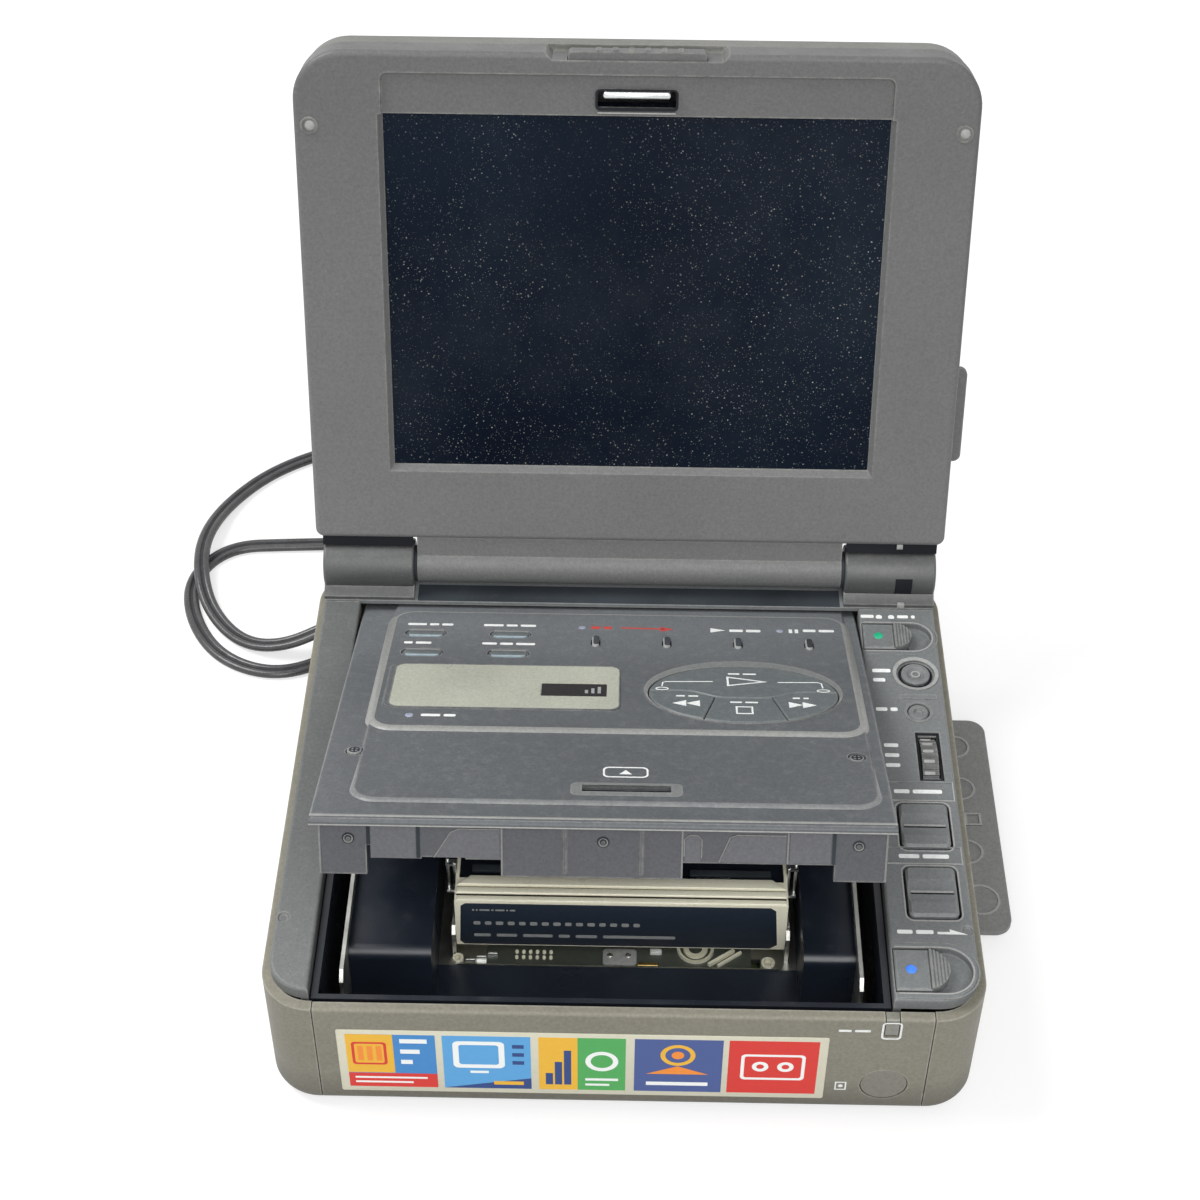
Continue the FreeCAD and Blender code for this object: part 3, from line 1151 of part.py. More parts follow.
def latch_button():
    y0 = "-face_out + 0.8"
    bar = box("-release_half", "release_half", y0, "-face_out + release_thick",
              "lid_up + lid_long - release_deep",
              "lid_up + lid_long + 0.2")
    bar = fillet(bar, 0.9, lambda edge, b: straight(edge, "y"))
    ribs = [box("%s" % (-8.75 + 3.5 * i), "%s" % (-7.75 + 3.5 * i), y0 + " + 0.5",
                "-face_out + release_thick - 0.5",
                "lid_up + lid_long", "lid_up + lid_long + 0.5") for i in range(6)]
    piece(fuse(bar, *ribs), "latch_button")


def latch_hook():
    bar = box("-hook_half", "hook_half", "-face_out + 0.5", "-face_out + 2.6", "lid_up + latch_high - 2",
              "lid_up + latch_high - 0.2")
    bar = chamfer(bar, 0.4, lambda edge, b: straight(edge, "x") and level(edge, "Y", b.YMin))
    arm = box("-hook_half + 1", "hook_half - 1", "-face_out + 2.2", "-face_out + 4",
              "lid_up + latch_high - 1.9",
              "lid_up + lid_long - release_deep - 0.2")
    piece(fuse(bar, arm), "latch_hook")


# Power lead


def dc_plug():
    body = rod("y", "inlet_x", "deep + gap", "inlet_z", "plug_r", "plug_long - gap")
    body = fillet(body, 1.0, rear_face_edges)
    tip = rod("y", "inlet_x", "deep - 7", "inlet_z", "plug_r - 1.4", "9")
    relief = taper("x", "inlet_x - relief_long - plug_r + 1", "deep + plug_long - plug_r", "inlet_z",
                   "lead / 2 + 0.1", "plug_r - 0.9", "relief_long")
    piece(fuse(body, tip, relief), "dc_plug")


def far_plug(point, direction):
    start = FreeCAD.Vector(*point)
    way = FreeCAD.Vector(*direction).normalize()
    r = n("plug_r")
    relief = Part.makeCone(n("lead") / 2 + 0.1, r - 0.9, n("relief_long"), start, way)
    body = Part.makeCylinder(r, n("plug_long") + 6, start + way * n("relief_long"), way)
    tip = Part.makeCylinder(r - 1.4, 9, start + way * (n("relief_long") + n("plug_long") + 5), way)
    piece(made(relief.fuse([body, tip]).removeSplitter()), "far_plug", "free")


def run_path(points):
    # Straight runs joined by tangent arcs
    vectors = [FreeCAD.Vector(*p) for p in points]
    edges = []
    start = vectors[0]
    tightest = 1e9
    for before, here, after in zip(vectors, vectors[1:], vectors[2:]):
        one = (before - here)
        two = (after - here)
        turn = math.pi - one.getAngle(two)
        trim = 0.45 * min(one.Length, two.Length)
        radius = trim / math.tan(turn / 2)
        tightest = min(tightest, radius)
        a = here + one.normalize() * trim
        b = here + two.normalize() * trim
        bisector = (one + two).normalize()
        mid = here + bisector * (math.hypot(radius, trim) - radius)
        edges.append(Part.LineSegment(start, a).toShape())
        edges.append(Part.Arc(a, mid, b).toShape())
        start = b
    edges.append(Part.LineSegment(start, vectors[-1]).toShape())
    wire = Part.Wire(edges)
    print("run of %.1f mm, tightest radius %.1f" % (wire.Length, tightest))
    return wire


def tube(points, r):
    path = run_path(points)
    start = FreeCAD.Vector(*points[0])
    way = (FreeCAD.Vector(*points[1]) - start).normalize()
    ring = Part.Wire(Part.makeCircle(r, start, way))
    body = path.makePipeShell([ring], True, False)
    print("   volume share %.4f" % (body.Volume / (math.pi * r * r * path.Length)))
    return body


def lead_runs():
    # The lead's route, from the plug to the coil and from the coil to its far plug
    shift = n("deep") / 2
    first = [(x, y - shift, z) for x, y, z in LEAD_TO_COIL]
    second = [(x, y - shift, z) for x, y, z in LEAD_FROM_COIL]
    return first, second


LEAD_TO_COIL = [
    (-53.4, 138.6, 11.0), (-63.4, 138.6, 11.0), (-74.5, 137.0, 8.4), (-87.0, 133.4, 4.4),
    (-98.5, 136.8, 2.2),
    (-108.0, 148.0, 2.4), (-112.2, 160.0, 6.8), (-113.0, 174.5, 6.8), (-108.6, 191.5, 2.4),
    (-98.0, 205.5, 2.2), (-81.0, 215.5, 2.2), (-62.0, 221.0, 2.2), (-43.5, 223.8, 2.2), (-26.5, 224.9, 2.2),
    (-10.0, 224.1, 2.2),
]
LEAD_FROM_COIL = [
    (-9.0, 169.6, 2.2), (-23.0, 168.7, 2.2), (-38.0, 169.4, 2.2), (-53.0, 171.8, 2.2), (-72.0, 175.5, 2.2),
    (-90.0, 174.6, 2.2),
    (-106.5, 173.5, 2.2),
    (-115.0, 161.0, 2.2), (-112.5, 145.5, 2.2), (-103.5, 131.5, 2.2), (-89.5, 125.6, 2.2),
    (-76.5, 130.5, 2.2),
    (-68.5, 141.0, 2.4), (-59.5, 148.0, 4.5), (-52.0, 149.0, 4.5),
]


def power_lead():
    first, second = lead_runs()
    r = n("lead") / 2
    piece(made(Part.makeCompound([tube(first, r), tube(second, r)])), "power_lead", "free")
    end = second[-1]
    before = second[-2]
    far_plug((end[0], end[1], end[2]),
             (end[0] - before[0], end[1] - before[1], 0))


def lead_coil():
    state["frame"] = "base"
    ring = rod("z", "coil_x", "coil_y", "0", "coil_out", "coil_tall")
    hole = rod("z", "coil_x", "coil_y", "-1", "coil_in", "coil_tall + 2")
    piece(cut(ring, hole), "lead_coil")


def build():
    state["frame"] = "base"
    bottom_cabinet()
    feet()
    cabinet_screws()
    front_panel()
    power_lamp()
    remote_window()
    left_top_cover()
    control_panel()
    slider("power_slider", "power_low", "power_high")
    slider("eject_slider", "eject_low", "eject_high")
    round_button("round_button", "round_x", "round_y", "round_r", "0.2", "2.4")
    round_button("small_button", "small_x", "small_y", "small_r", "0.1", "1.3")
    rocker("bright_rocker", "bright_y", "bright_long")
    rocker("sound_rocker", "sound_y", "sound_long")
    dial_wheel()
    rear_deck()
    hinge_covers()
    hinge_pins()
    cavity_liner()
    main_chassis()
    deck_rails()
    deck_posts()
    reel("supply_reel", reel_places()[0])
    reel("take_up_reel", reel_places()[1])
    drum_base()
    head_drum()
    capstan_flywheel()
    pinch_roller()
    cassette_holder()
    main_board()
    jack_panel()
    jack_cover()
    dc_inlet()
    state["frame"] = "door"
    door_panel()
    door_buttons()
    main_keys()
    format_plate()
    door_skirt()
    door_screws()
    door_arms()
    state["frame"] = "lid"
    lid_bezel()
    lid_rear_cover()
    port_cover()
    lcd_panel()
    latch_button()
    latch_hook()
    state["frame"] = "base"
    dc_plug()
    power_lead()
    lead_coil()


def check_and_write():
    doc.recompute()
    bad = ["%s %s %s %s" % (obj.Name, obj.TypeId, obj.Label, obj.State) for obj in doc.Objects
           if "Invalid" in obj.State or "Error" in obj.State]
    bad += ["%s shape" % obj.Label for obj in pieces if obj.Shape.isNull() or not obj.Shape.isValid()]
    if bad:
        raise RuntimeError("did not build: " + "; ".join(bad))
    os.makedirs("parts", exist_ok=True)
    for obj in pieces:
        obj.Shape.exportStep("parts/%s.step" % obj.Label)
    print("%d pieces written" % len(pieces))


build()
check_and_write()
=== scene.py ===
import math

import bmesh
import bpy
from mathutils import Matrix, Vector


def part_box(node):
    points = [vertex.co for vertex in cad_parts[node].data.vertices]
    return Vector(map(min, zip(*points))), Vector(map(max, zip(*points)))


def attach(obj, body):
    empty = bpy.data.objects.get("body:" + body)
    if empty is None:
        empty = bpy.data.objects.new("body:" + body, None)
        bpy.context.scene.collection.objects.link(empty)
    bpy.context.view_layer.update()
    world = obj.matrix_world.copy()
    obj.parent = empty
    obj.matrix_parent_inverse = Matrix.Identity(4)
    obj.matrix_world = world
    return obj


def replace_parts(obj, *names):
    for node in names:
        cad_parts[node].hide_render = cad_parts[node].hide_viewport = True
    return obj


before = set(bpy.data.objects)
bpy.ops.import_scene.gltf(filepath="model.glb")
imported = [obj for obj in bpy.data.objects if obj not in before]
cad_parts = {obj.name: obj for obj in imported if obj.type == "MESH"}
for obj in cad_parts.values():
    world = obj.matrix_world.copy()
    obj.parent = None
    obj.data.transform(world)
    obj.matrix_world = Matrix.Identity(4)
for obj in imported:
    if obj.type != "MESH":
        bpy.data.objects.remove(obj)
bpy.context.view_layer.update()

# Lengths below are millimetres; y counts from the cabinet's front face, as in the part
MM = 0.001
HALF_DEEP = 65.0
DOOR_PIVOT = (107.0, 6.0)
DOOR_OPEN = 19.5
LID_AXIS = (124.6, 41.2)
LID_TILT = 16.0
FACE_OUT = 3.7
LID_UP = 8.2

SCALE = Matrix.Scale(MM, 4)


def move(x, y, z):
    return Matrix.Translation((x, y, z))


def turn_x(angle):
    return Matrix.Rotation(math.radians(angle), 4, "X")


def plane_matrix(u, v, w, origin):
    # Columns are the directions that u, v and w run in
    rows = [[u[i], v[i], w[i], origin[i]] for i in range(3)]
    return Matrix(rows + [[0, 0, 0, 1]])


BASE = SCALE @ move(0, -HALF_DEEP, 0)
DOOR = BASE @ move(0, *DOOR_PIVOT) @ turn_x(-DOOR_OPEN) @ move(0, -DOOR_PIVOT[0], -DOOR_PIVOT[1])
LID = BASE @ move(0, *LID_AXIS) @ turn_x(-LID_TILT)
FRONT = BASE @ plane_matrix((1, 0, 0), (0, 0, 1), (0, -1, 0), (0, 0, 0))
LID_FACE = LID @ plane_matrix((1, 0, 0), (0, 0, 1), (0, -1, 0), (0, -FACE_OUT, LID_UP))


# Materials


def colour(r, g, b):
    # The linear value of a colour written 0 to 255
    def one(c):
        c = c / 255.0
        return c / 12.92 if c <= 0.04045 else ((c + 0.055) / 1.055) ** 2.4
    return (one(r), one(g), one(b), 1.0)


class Paint:
    """A node material built step by step."""

    def __init__(self, name, rough=0.5, metal=0.0, specular=0.5):
        self.material = bpy.data.materials.new(name)
        self.material.use_nodes = True
        self.tree = self.material.node_tree
        self.shader = self.tree.nodes["Principled BSDF"]
        self.shader.inputs["Metallic"].default_value = metal
        self.shader.inputs["Roughness"].default_value = rough
        self.shader.inputs["Specular IOR Level"].default_value = specular
        self.where = self.node("ShaderNodeTexCoord").outputs["Object"]

    def node(self, kind, **settings):
        made = self.tree.nodes.new(kind)
        for name, value in settings.items():
            setattr(made, name, value)
        return made

    def link(self, source, target):
        self.tree.links.new(source, target)

    def noise(self, scale, detail=3.0, rough=0.5, stretch=None):
        made = self.node("ShaderNodeTexNoise")
        made.inputs["Scale"].default_value = scale
        made.inputs["Detail"].default_value = detail
        made.inputs["Roughness"].default_value = rough
        source = self.where
        if stretch:
            mapping = self.node("ShaderNodeMapping")
            mapping.inputs["Scale"].default_value = stretch
            self.link(self.where, mapping.inputs["Vector"])
            source = mapping.outputs["Vector"]
        self.link(source, made.inputs["Vector"])
        return made.outputs["Fac"]

    def specks(self, scale, size):
        # 1 on small round specks, 0 between them
        made = self.node("ShaderNodeTexVoronoi")
        made.inputs["Scale"].default_value = scale
        made.inputs["Randomness"].default_value = 1.0
        self.link(self.where, made.inputs["Vector"])
        return self.ramp(made.outputs["Distance"], size, size * 0.55, 0.0, 1.0)

    def ramp(self, source, low, high, out_low=0.0, out_high=1.0):
        made = self.node("ShaderNodeMapRange")
        for name, value in (("From Min", low), ("From Max", high), ("To Min", out_low), ("To Max", out_high)):
            made.inputs[name].default_value = value
        self.link(source, made.inputs["Value"])
        return made.outputs["Result"]

    def times(self, a, b):
        made = self.node("ShaderNodeMath", operation="MULTIPLY")
        for source, socket in zip((a, b), made.inputs):
            if isinstance(source, float):
                socket.default_value = source
            else:
                self.link(source, socket)
        return made.outputs["Value"]

    def blend(self, share, a, b):
        made = self.node("ShaderNodeMix", data_type="RGBA")
        self.link(share, made.inputs["Factor"])
        for source, socket in ((a, made.inputs[6]), (b, made.inputs[7])):
            if isinstance(source, tuple):
                socket.default_value = source
            else:
                self.link(source, socket)
        return made.outputs[2]

    def scaled(self, base, factor):
        made = self.node("ShaderNodeVectorMath", operation="SCALE")
        self.link(base, made.inputs[0])
        self.link(factor, made.inputs["Scale"])
        return made.outputs[0]

    def along(self, axis, low, high, k_low, k_high):
        # A factor that changes along one axis of the object, used as painted light and shade
        parts = self.node("ShaderNodeSeparateXYZ")
        self.link(self.where, parts.inputs["Vector"])
        return self.ramp(parts.outputs[axis], low, high, k_low, k_high)

    def up(self):
        # 1 where the surface faces up
        normal = self.node("ShaderNodeNewGeometry").outputs["Normal"]
        parts = self.node("ShaderNodeSeparateXYZ")
        self.link(normal, parts.inputs["Vector"])
        return self.ramp(parts.outputs["Z"], 0.35, 0.95)

    def edges(self, radius):
        # 1 on convex and concave edges, 0 on flat surfaces
        soft = self.node("ShaderNodeBevel", samples=4)
        soft.inputs["Radius"].default_value = radius
        dot = self.node("ShaderNodeVectorMath", operation="DOT_PRODUCT")
        self.link(soft.outputs["Normal"], dot.inputs[0])
        self.link(self.node("ShaderNodeNewGeometry").outputs["Normal"], dot.inputs[1])
        return self.ramp(dot.outputs["Value"], 0.995, 0.86)

    def bump(self, height, strength, distance=0.0001):
        made = self.node("ShaderNodeBump")
        made.inputs["Strength"].default_value = strength
        made.inputs["Distance"].default_value = distance
        self.link(height, made.inputs["Height"])
        self.link(made.outputs["Normal"], self.shader.inputs["Normal"])

    def base(self, source):
        self.link(source, self.shader.inputs["Base Color"])

    def rough(self, source, low, high):
        self.link(self.ramp(source, 0.3, 0.7, low, high), self.shader.inputs["Roughness"])


def mixed(c, k):
    return tuple(min(max(v * k, 0), 1) for v in c[:3]) + (1.0,)


def plastic(name, c, rough=0.55, mottle=0.1, dust=0.2, wear_and_highlight=0.35, grain=0.25, specular=0.4, shade=None, fine=0.16):
    """Moulded plastic: fine grain, faint blotches, dust on top, bright edges that are partly wear and partly painted
    highlight, and, where shade is given, painted light and shade along one axis.
    """
    p = Paint(name, rough, 0.0, specular)
    broad = p.noise(22.0, 3.0, 0.6)
    tiny = p.noise(2600.0, 2.0, 0.6)
    base = p.blend(p.ramp(broad, 0.3, 0.7), mixed(c, 1 - mottle), mixed(c, 1 + mottle))
    base = p.scaled(base, p.ramp(p.noise(1500.0, 3.0, 0.75), 0.3, 0.7, 1 - fine, 1 + fine))
    if shade:
        # painted light and shade: lighter or darker along one axis of the object
        base = p.scaled(base, p.along(*shade))
    pale = colour(186, 186, 180)
    if dust:
        patches = p.ramp(p.noise(420.0, 8.0, 0.8), 0.5, 0.8)
        film = p.times(p.times(patches, p.up()), dust)
        base = p.blend(film, base, pale)
        for scale, size, share in ((620.0, 0.12, 1.6), (1500.0, 0.17, 1.1)):
            grit = p.times(p.times(p.specks(scale, size), p.ramp(broad, 0.45, 0.62)), dust * share)
            base = p.blend(grit, base, pale)
    if wear_and_highlight:
        # bright edges: partly wear, partly painted highlight on convex and concave edges
        rubbed_and_lit = p.ramp(p.noise(330.0, 4.0, 0.7), 0.32, 0.62)
        base = p.blend(p.times(p.times(p.edges(0.0007), rubbed_and_lit), wear_and_highlight), base, colour(196, 194, 186))
    p.base(base)
    p.rough(p.noise(90.0, 4.0, 0.6), rough - 0.06, rough + 0.08)
    p.bump(tiny, grain)
    return p.material


def dark_plastic(name, c, rough=0.42, specular=0.16, shade=None):
    p = Paint(name, rough, 0.0, specular)
    base = p.blend(p.ramp(p.noise(40.0, 3.0), 0.35, 0.65), mixed(c, 0.8), mixed(c, 1.2))
    if shade:
        # painted light and shade: lighter or darker along one axis of the object
        base = p.scaled(base, p.along(*shade))
    dusty = p.times(p.times(p.ramp(p.noise(240.0, 6.0, 0.8), 0.55, 0.8), p.up()), 0.07)
    p.base(p.blend(dusty, base, colour(150, 152, 156)))
    p.rough(p.noise(60.0, 3.0), rough - 0.08, rough + 0.1)
    p.bump(p.noise(2200.0, 2.0), 0.15)
    return p.material


def metal(name, c, rough=0.35, brushed=None, stain=0.25):
    p = Paint(name, rough, 1.0)
    tone = p.noise(150.0, 5.0, 0.65, brushed)
    base = p.blend(p.ramp(tone, 0.3, 0.7), mixed(c, 1 - stain), mixed(c, 1.0))
    p.base(base)
    p.rough(tone, rough - 0.06, rough + 0.12)
    p.bump(p.noise(1400.0, 3.0, 0.6, brushed), 0.12)
    return p.material


def rubber(name, c, rough=0.6, specular=0.3):
    p = Paint(name, rough, 0.0, specular)
    p.base(p.blend(p.ramp(p.noise(300.0, 4.0), 0.35, 0.7), mixed(c, 0.85), mixed(c, 1.25)))
    p.rough(p.noise(500.0, 3.0), rough - 0.08, rough + 0.08)
    p.bump(p.noise(1800.0, 3.0), 0.2)
    return p.material


def printed(name, c, worn=0.35, under=(90, 94, 95)):
    """Printing ink, thin and a little rubbed."""
    p = Paint(name, 0.5, 0.0, 0.35)
    rub = p.times(p.ramp(p.noise(900.0, 4.0, 0.7), 0.45, 0.7), worn)
    p.base(p.blend(rub, colour(*c), colour(*under)))
    p.bump(p.noise(2500.0, 2.0), 0.08)
    return p.material


def glossy(name, c, rough=0.15, glow=0.0, coat=0.3):
    p = Paint(name, rough, 0.0, 0.5)
    shade = p.blend(p.ramp(p.noise(800.0, 2.0), 0.3, 0.7), mixed(colour(*c), 0.85), mixed(colour(*c), 1.1))
    p.base(shade)
    p.rough(p.noise(400.0, 3.0), rough, rough + 0.1)
    p.shader.inputs["Coat Weight"].default_value = coat
    # painted glow: the green and blue dots glow though they are no lamps
    if glow:
        p.link(shade, p.shader.inputs["Emission Color"])
        p.shader.inputs["Emission Strength"].default_value = glow
    return p.material


def dusty_screen(name):
    """Dark panel behind a matt film, with dust specks and a smear here and there."""
    p = Paint(name, 0.3, 0.0, 0.05)
    deep = p.blend(p.ramp(p.noise(14.0, 2.0), 0.35, 0.65), colour(7, 16, 29), colour(16, 27, 40))
    haze = p.times(p.ramp(p.noise(26.0, 5.0, 0.7), 0.42, 0.72), 0.04)
    base = p.blend(haze, deep, colour(129, 133, 138))
    clumps = p.ramp(p.noise(34.0, 3.0, 0.6), 0.35, 0.62, 0.25, 1.0)
    for scale, size, share in ((760.0, 0.16, 0.34), (1700.0, 0.2, 0.22), (300.0, 0.055, 0.7)):
        base = p.blend(p.times(p.times(p.specks(scale, size), clumps), share), base, colour(212, 210, 202))
    p.base(base)
    p.rough(p.noise(120.0, 5.0, 0.7), 0.24, 0.42)
    p.bump(p.noise(3000.0, 2.0), 0.05)
    return p.material


def circuit(name):
    p = Paint(name, 0.5)
    lines = p.ramp(p.noise(420.0, 1.0, 0.3, (1.0, 0.2, 1.0)), 0.5, 0.54)
    p.base(p.blend(lines, colour(34, 58, 44), colour(92, 108, 70)))
    p.bump(p.noise(900.0, 2.0), 0.2)
    return p.material


GREY = colour(125, 126, 123)
PAINTS = {
    # cabinet: painted shade, darker towards its bottom edge
    "cabinet": plastic("cabinet", colour(128, 125, 112), 0.52, 0.07, 0.1, 0.5, shade=("Z", 0.001, 0.012, 0.45, 1.0)),
    "strip": plastic("strip", colour(115, 118, 119), 0.48, 0.06, 0.12, 0.4),
    # cover: painted light, lighter towards its front
    "cover": plastic("cover", colour(96, 98, 98), 0.48, 0.06, 0.12, 0.6, shade=("Y", -0.056, -0.02, 1.25, 1.0)),
    "deck": plastic("deck", colour(125, 128, 129), 0.48, 0.06, 0.12, 0.4),
    "panel": plastic("panel", colour(125, 127, 125), 0.5, 0.08, 0.12, 0.35),
    # door: painted light, lighter towards its rear
    "door": plastic("door", colour(95, 98, 101), 0.44, 0.05, 0.2, 0.4, shade=("Y", 0.02, 0.042, 1.0, 1.4)),
    # lighter copies of the door plastic: painted highlights on the round edges of the panel's steps
    "door_edge_highlight": plastic("door_edge_highlight", colour(140, 141, 138), 0.36, 0.1, 0.25, 0.2, 0.12, 0.6),
    "mid_edge_highlight": plastic("mid_edge_highlight", colour(116, 119, 121), 0.38, 0.1, 0.25, 0.2, 0.12, 0.5),
    "door_lip": plastic("door_lip", colour(91, 94, 97), 0.42, 0.05, 0.1, 0.0, 0.15, 0.4),
    "key": plastic("key", colour(101, 107, 109), 0.46, 0.05, 0.2, 0.2),
    "key_dark": dark_plastic("key_dark", colour(63, 67, 71), 0.5, 0.2),
    # light bluish grey: painted highlight on the front edge of the pill keys
    "key_highlight": plastic("key_highlight", colour(172, 189, 197), 0.4, 0.06, 0.1, 0.0),
    "groove": dark_plastic("groove", colour(33, 35, 39), 0.6, 0.1),
    "shadow": dark_plastic("shadow", colour(56, 61, 66), 0.6, 0.1),
    # a light grey laid mostly as painted highlights on rims, ridges and edges
    "soft_light": plastic("soft_light", colour(159, 160, 158), 0.5, 0.05, 0.1, 0.0),
    # lid: painted light lower down and painted shade towards its top
    "lid": plastic("lid", colour(106, 107, 106), 0.5, 0.05, 0.1, 0.4, shade=("Z", 0.05, 0.15, 1.14, 0.8)),
    "lid_back": plastic("lid_back", colour(112, 112, 108), 0.5, 0.05, 0.14, 0.4),
    "hinge": plastic("hinge", colour(77, 79, 78), 0.42, 0.07, 0.14, 0.3, 0.2, 0.6),
    "barrel": plastic("barrel", colour(125, 127, 128), 0.48, 0.06, 0.1, 0.3),
    "rim": plastic("rim", colour(125, 127, 127), 0.46, 0.06, 0.2, 0.3),
    # liner: painted light on its lower parts and painted shade on its upper ones
    "liner": dark_plastic("liner", colour(22, 28, 38), 0.32, 0.6, ("Z", 0.018, 0.0275, 1.9, 0.8)),
    "skirt": plastic("skirt", colour(86, 87, 91), 0.5, 0.05, 0.1, 0.4),
    # lighter blocks and light lines on the door's skirt: painted light and highlights
    "skirt_light": plastic("skirt_light", colour(101, 102, 106), 0.45, 0.05, 0.1, 0.0),
    "skirt_line": plastic("skirt_line", colour(133, 133, 131), 0.5, 0.05, 0.1, 0.0),
    "deck_green": plastic("deck_green", colour(71, 76, 69), 0.35, 0.2, 0.0, 0.0, 0.1, 0.8),
    "flap": plastic("flap", colour(127, 127, 126), 0.5, 0.08, 0.2, 0.3),
    "screen": dusty_screen("screen"),
    "lens": glossy("lens", (37, 33, 35), 0.12),
    "eye": plastic("eye", colour(118, 116, 105), 0.35, 0.04, 0.0, 0.2, 0.05, 0.5),
    "lamp": glossy("lamp", (127, 126, 116), 0.25),
    "rubber": rubber("rubber", colour(44, 45, 47)),
    "cord": rubber("cord_cover", colour(62, 62, 63), 0.3, 0.6),
    "steel": metal("steel", colour(210, 210, 204), 0.34),
    "dark_steel": metal("dark_steel", colour(91, 88, 84), 0.4),
    "pale_metal": metal("pale_metal", colour(238, 240, 238), 0.3),
    "brass": metal("brass", colour(221, 189, 121), 0.32),
    "drum": metal("drum_metal", colour(210, 210, 210), 0.2, (1.0, 1.0, 9.0)),
    "cream": plastic("cream_metal", colour(255, 250, 226), 0.3, 0.02, 0.0, 0.0, 0.05, 0.8, fine=0.04),
    "plate": plastic("plate_film", colour(182, 184, 169), 0.3, 0.12, 0.5, 0.3, 0.1, 0.8),
    "board": circuit("board"),
    "white": printed("white_print", (244, 246, 244), 0.2),
    "dim": printed("dim_print", (161, 164, 163), 0.3),
    "red": printed("red_print", (210, 71, 63), 0.25),
    "dark": printed("dark_print", (56, 61, 63), 0.2),
    "label": printed("label_film", (35, 44, 56), 0.12, (64, 72, 84)),
    # green and blue dots: painted glow
    "green": glossy("green_dot", (31, 161, 118), 0.3, 0.25),
    "blue": glossy("blue_dot", (56, 121, 229), 0.3, 0.35),
    "violet": glossy("violet_lamp", (161, 167, 185), 0.3),
    "sticker": printed("sticker_border", (221, 218, 197), 0.12, (170, 168, 152)),
    "sticker_yellow": printed("sticker_yellow", (244, 189, 59), 0.1, (200, 150, 50)),
    "sticker_blue": printed("sticker_blue", (67, 140, 206), 0.1, (60, 110, 170)),
    "sticker_sky": printed("sticker_sky", (95, 170, 227), 0.1, (70, 140, 200)),
    "sticker_red": printed("sticker_red", (221, 56, 48), 0.1, (180, 50, 44)),
    "sticker_green": printed("sticker_green", (80, 172, 91), 0.1, (70, 140, 80)),
    "sticker_slate": printed("sticker_slate", (71, 91, 150), 0.1, (60, 76, 120)),
    "sticker_orange": printed("sticker_orange", (249, 148, 56), 0.1, (200, 120, 50)),
    "sticker_navy": printed("sticker_navy", (37, 67, 129), 0.1, (40, 60, 110)),
    "sticker_white": printed("sticker_white", (253, 255, 253), 0.08, (210, 212, 210)),
    "bright": metal("bright_bar", colour(214, 218, 217), 0.25),
}

NODE_PAINTS = {
    "cabinet": ["bottom_cabinet", "front_panel"],
    "cover": ["left_top_cover"],
    "deck": ["rear_deck"],
    "strip": ["control_panel", "power_slider", "eject_slider", "bright_rocker", "sound_rocker",
              "round_button", "small_button"],
    "hinge": ["hinge_covers", "dial_wheel"],
    "lid": ["lid_bezel", "latch_button", "port_cover"],
    "lid_back": ["lid_rear_cover"],
    "door": ["door_panel"],
    "key": ["display_button", "title_button", "dub_button", "assemble_button", "record_button",
            "record_mate_button", "slow_button", "pause_button", "play_key", "stop_key", "rewind_key",
            "forward_key"],
    "skirt": ["door_skirt", "door_arms"],
    "liner": ["cavity_liner", "jack_panel", "dc_inlet"],
    "flap": ["jack_cover"],
    "steel": ["cabinet_screws", "hinge_pins", "main_chassis", "capstan_flywheel", "deck_posts", "deck_rails"],
    "dark_steel": ["door_screws"],
    "drum": ["head_drum"],
    "liner2": ["supply_reel", "take_up_reel", "drum_base"],
    "cream": ["cassette_holder"],
    "board": ["main_board"],
    "rubber": ["feet", "pinch_roller", "dc_plug", "far_plug"],
    "plate": ["format_plate"],
    "screen": ["lcd_panel"],
    "eye": ["remote_window"],
    "lamp": ["power_lamp"],
    "bright": ["latch_hook"],
}
# painted light, lighter towards the door's rear
PAINTS["door_flat"] = plastic("door_flat", colour(95, 98, 101), 0.44, 0.05, 0.2, 0.0,
                              shade=("Y", 0.02, 0.042, 1.0, 1.4))
PAINTS["liner2"] = dark_plastic("reel_plastic", colour(65, 67, 71), 0.4)
for key, names in NODE_PAINTS.items():
    for name in names:
        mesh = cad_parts[name].data
        mesh.materials.clear()
        mesh.materials.append(PAINTS[key])


# Shapes


def circle(u, v, r, count=32):
    return [(u + r * math.cos(2 * math.pi * i / count), v + r * math.sin(2 * math.pi * i / count))
            for i in range(count)]


def ellipse(u, v, a, b, count=96):
    return [(u + a * math.cos(2 * math.pi * i / count), v + b * math.sin(2 * math.pi * i / count))
            for i in range(count)]


def arc(u, v, r, start, end, count=8):
    angles = [math.radians(start + (end - start) * i / count) for i in range(count + 1)]
    return [(u + r * math.cos(a), v + r * math.sin(a)) for a in angles]


def rect(u0, u1, v0, v1, r=0.0, count=6):
    # Anticlockwise, with round corners where r is set
    if r <= 0:
        return [(u0, v0), (u1, v0), (u1, v1), (u0, v1)]
    points = []
    for cu, cv, start in ((u1 - r, v0 + r, -90), (u1 - r, v1 - r, 0), (u0 + r, v1 - r, 90), (u0 + r, v0 + r, 180)):
        for i in range(count + 1):
            angle = math.radians(start + 90.0 * i / count)
            points.append((cu + r * math.cos(angle), cv + r * math.sin(angle)))
    return points


def shrink(loop, d):
    # Moves an anticlockwise outline inwards by d
    out = []
    for i, here in enumerate(loop):
        before = Vector(loop[i - 1])
        after = Vector(loop[(i + 1) % len(loop)])
        one = (Vector(here) - before).normalized()
        two = (after - Vector(here)).normalized()
        n1 = Vector((-one.y, one.x))
        n2 = Vector((-two.y, two.x))
        mid = n1 + n2
        if mid.length < 1e-6:
            mid = n1
        mid.normalize()
        scale = d / max(mid.dot(n1), 0.35)
        out.append(tuple(Vector(here) + mid * scale))
    return out


